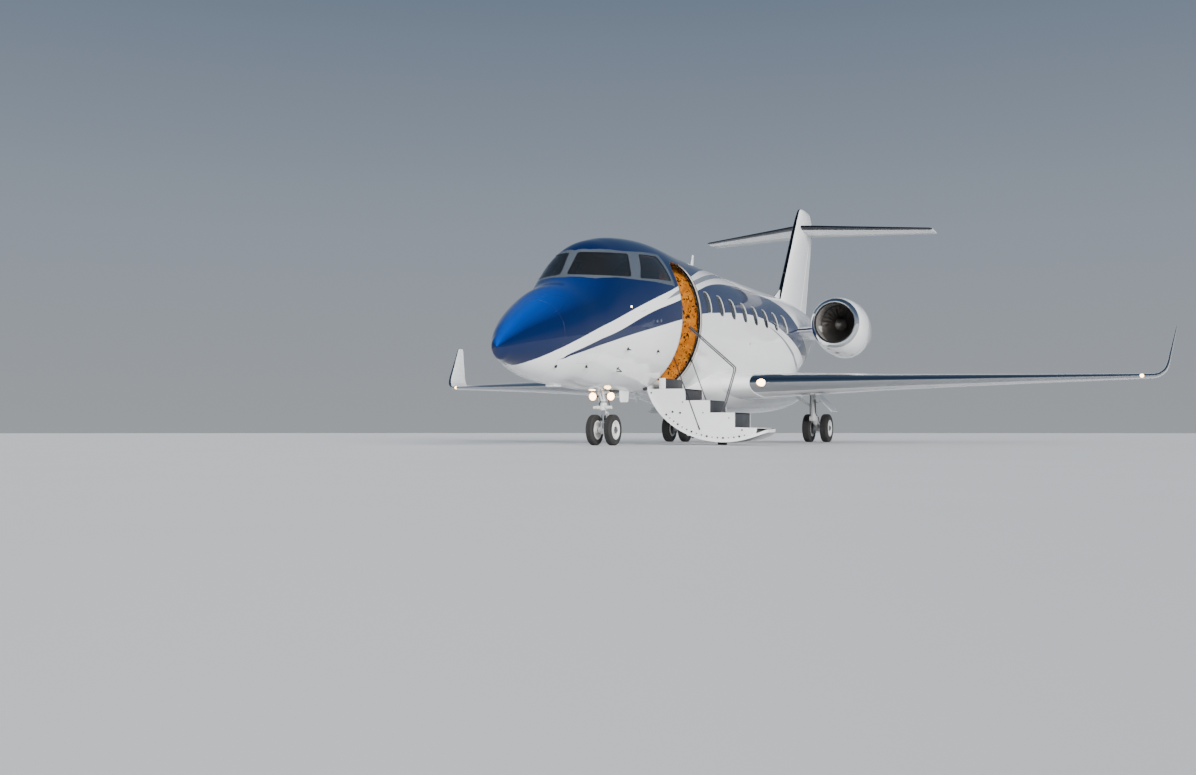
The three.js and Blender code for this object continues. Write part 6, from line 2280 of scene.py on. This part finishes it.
@dataclass
class Fittings:
    """Probes, static ports, antennas, wicks and small lamps on the outside.

    A probe is (station, degrees from the crown, height above the skin, length forward, sides). A wick on the
    tailplane is (span, station, height), and one on the fin is (station, height).
    """

    probes: tuple = ((3.23, 115.7, 0.07, 0.16, (1, -1)), (4.33, 118.7, 0.05, 0.06, (1, -1)),
                     (3.21, 134.7, 0.1, 0.2, (1, -1)), (2.12, 133.2, 0.04, 0.05, (1, -1)),
                     (1.3, 137.3, 0.03, 0.04, (1,)))
    ports: tuple = ((4.06, 95.1), (4.2, 94.6), (9.22, 100.0))
    marker: tuple[float, float] = (3.2, 81.9)
    blades: tuple = ((8.73, 0.0, 0.33, 0.2), (5.6, 180.0, 0.16, 0.2))
    plane_wicks: tuple = ((2.6, 20.19, 6.033), (3.1, 20.26, 6.037), (3.3, 20.28, 6.039))
    fin_wicks: tuple = ((18.774, 6.2), (18.814, 6.4))

    def probe(self, station: float, degrees: float, height: float, length: float) -> Solid:
        """A bent tube on a round base plate."""
        turn = math.radians(degrees)
        root = HULL.point(station, turn)
        out = HULL.normal(root)
        knee = root + out * height
        plate = Solid.rod(root - out * 0.004, root + out * 0.005, 0.03, bevel=0.002)
        tube = Solid.tube([root, root + out * height * 0.6, knee + Vector((0, -0.02, 0)),
                           knee + Vector((0, -0.02 - length, 0))], 0.009)
        return Solid.joined([plate, tube])

    def blade(self, station: float, degrees: float, height: float, chord: float) -> Solid:
        """A swept blade antenna."""
        turn = math.radians(degrees)
        root = HULL.point(station, turn, 0.01)
        out = HULL.normal(root)
        rings = []
        for share in (0.0, 0.5, 0.9, 1.0):
            width = chord * mix(1.0, 0.5, share)
            middle = root + out * height * share + Vector((0, chord * 0.45 * share, 0))
            thick = 0.011 * (1 - 0.5 * share)
            rings.append([middle + Vector((thick * math.sin(angle), width / 2 * math.cos(angle), 0))
                          for angle in turns(16)])
        return Solid.sweep(rings)

    def build(self) -> None:
        """Makes every small fitting."""
        tubes = []
        for station, degrees, height, length, sides in self.probes:
            made = self.probe(station, degrees, height, length)
            tubes += [made if side > 0 else made.mirrored() for side in sides]
        show(Solid.joined(tubes), "air_data_probes", STEEL, "airframe")
        plates = []
        for station, degrees in self.ports:
            root = HULL.point(station, math.radians(degrees))
            out = HULL.normal(root)
            made = Solid.rod(root - out * 0.004, root + out * 0.003, 0.028, bevel=0.001)
            plates += [made, made.mirrored()]
        show(Solid.joined(plates), "static_ports", BRUSHED, "airframe")
        blades = [self.blade(*row) for row in self.blades]
        show(Solid.joined(blades), "blade_antennas", WHITE_PAINT, "airframe")
        wicks = []
        for place in self.plane_wicks:
            root = at(*place)
            wicks.append(Solid.rod(root - AFT * 0.03, root + AFT * 0.02, 0.004, 0.002, segments=10))
        wicks += [wick.mirrored() for wick in wicks]
        for place in self.fin_wicks:
            root = at(0.0, *place)
            wicks.append(Solid.pin(root, AFT * 0.05, 0.004, 0.002, segments=10))
        show(Solid.joined(wicks), "static_wicks", STEEL, "airframe")
        plate = Solid.box(at(-0.09, 1.96, 1.0), at(0.09, 2.2, 1.045), 0.012, 3)
        show(plate, "belly_antenna", WHITE_PAINT, "airframe")
        root = HULL.point(self.marker[0], math.radians(self.marker[1]))
        out = HULL.normal(root)
        lens = Solid.rod(root - out * 0.003, root + out * 0.012, 0.02, 0.014, bevel=0.003)
        show(Solid.joined([lens, lens.mirrored()]), "marker_lights", LENS, "airframe")


SEAT_SHELL = Plastic("seat_shell", (0.45, 0.4, 0.33), 0.45)
SHADE = Plastic("glareshield_cloth", (0.025, 0.025, 0.028), 0.85, 500.0)
BOARD = Plastic("instrument_grey", (0.08, 0.085, 0.095), 0.5)
SCREEN = Glow("screen_glow", (0.1, 0.24, 0.42), 1.2)
CEILING_LIGHT = Glow("ceiling_light", (1.0, 0.86, 0.66), 9.0)


# Studio


@dataclass(frozen=True)
class Lamp:
    """One soft, distant light: the way it shines, its strength, its spread in degrees and its colour."""

    name: str
    way: tuple[float, float, float]
    strength: float
    spread: float
    colour: Colour = (1.0, 1.0, 1.0)


@dataclass
class Studio:
    """The camera, the pale floor and the soft lights."""

    eye: tuple[float, float, float] = (9.196, -26.363, 0.254)
    yaw: float = 0.431
    pitch: float = 0.036
    lens: float = 36.7357
    sensor: float = 36.0
    floor_radius: float = 160.0
    floor_colour: Colour = (0.52, 0.53, 0.54)
    sky: tuple = ((0.0, (0.36, 0.38, 0.4)), (0.16, (0.29, 0.33, 0.39)), (0.42, (0.1, 0.15, 0.23)),
                  (1.0, (0.03, 0.05, 0.09)))
    sky_strength: float = 1.0
    lamps: tuple = (
        Lamp("key", (-0.72, 0.64, -0.24), 7.0, 30.0, (1.0, 0.98, 0.95)),
        Lamp("front", (0.5, 0.8, -0.3), 2.4, 50.0),
        Lamp("back", (0.55, -0.7, -0.34), 2.6, 50.0, (0.95, 0.97, 1.0)),
        Lamp("top", (-0.1, 0.1, -1.0), 1.0, 60.0),
    )

    def build(self) -> None:
        """Makes the whole studio."""
        self.camera()
        self.floor()
        self.world()
        for lamp in self.lamps:
            self.hang(lamp)

    def camera(self) -> None:
        """Puts the camera where the photograph was taken from."""
        lens = bpy.data.cameras.new("camera")
        lens.lens = self.lens
        lens.sensor_width = self.sensor
        lens.clip_end = 500.0
        camera = bpy.data.objects.new("camera", lens)
        camera.location = self.eye
        camera.rotation_euler = (math.pi / 2 + self.pitch, 0.0, self.yaw)
        bpy.context.scene.collection.objects.link(camera)
        bpy.context.scene.camera = camera

    def floor(self) -> None:
        """Lays a plain pale floor."""
        bm = bmesh.new()
        bmesh.ops.create_circle(bm, cap_ends=True, segments=96, radius=self.floor_radius)
        mesh = bpy.data.meshes.new("floor")
        bm.to_mesh(mesh)
        bm.free()
        floor = bpy.data.objects.new("floor", mesh)
        bpy.context.scene.collection.objects.link(floor)
        graph = Graph("pale_floor")
        tone = graph.noise(0.6, 5.0)
        graph.set(
            Base_Color=graph.blend(tone, self.floor_colour, darker(self.floor_colour, 0.94)),
            Roughness=tone.math("MULTIPLY_ADD", 0.1, 0.5),
        )
        mesh.materials.append(graph.material)

    def world(self) -> None:
        """Fills the room with even light."""
        world = bpy.data.worlds.new("studio")
        world.use_nodes = True
        tree = world.node_tree
        background = tree.nodes["Background"]
        split = tree.nodes.new("ShaderNodeSeparateXYZ")
        ramp = tree.nodes.new("ShaderNodeValToRGB")
        tree.links.new(tree.nodes.new("ShaderNodeTexCoord").outputs["Generated"], split.inputs[0])
        tree.links.new(split.outputs["Z"], ramp.inputs[0])
        tree.links.new(ramp.outputs[0], background.inputs["Color"])
        stops = ramp.color_ramp.elements
        for k, (height, colour) in enumerate(self.sky):
            stop = stops[k] if k < 2 else stops.new(height)
            stop.position = height
            stop.color = (*colour, 1.0)
        background.inputs["Strength"].default_value = self.sky_strength
        bpy.context.scene.world = world

    def hang(self, lamp: Lamp) -> None:
        """Hangs one soft light."""
        light = bpy.data.lights.new(lamp.name, "SUN")
        light.energy = lamp.strength
        light.angle = math.radians(lamp.spread)
        light.color = lamp.colour
        holder = bpy.data.objects.new(lamp.name, light)
        holder.location = Vector(lamp.way) * -30.0
        holder.rotation_euler = Vector(lamp.way).to_track_quat("-Z", "Y").to_euler()
        holder.visible_glossy = False
        bpy.context.scene.collection.objects.link(holder)


def main() -> None:
    """Builds every sub-assembly in order."""
    logging.basicConfig(level=logging.INFO, format="%(name)s: %(message)s")
    Studio().build()
    for assembly in (Fuselage, Fairing, Wing, Tail, Engine, NoseGear, MainGear, Airstair, Seats, Cockpit,
                     Cabin, Fittings):
        assembly().build()


if __name__ == "__main__":
    main()
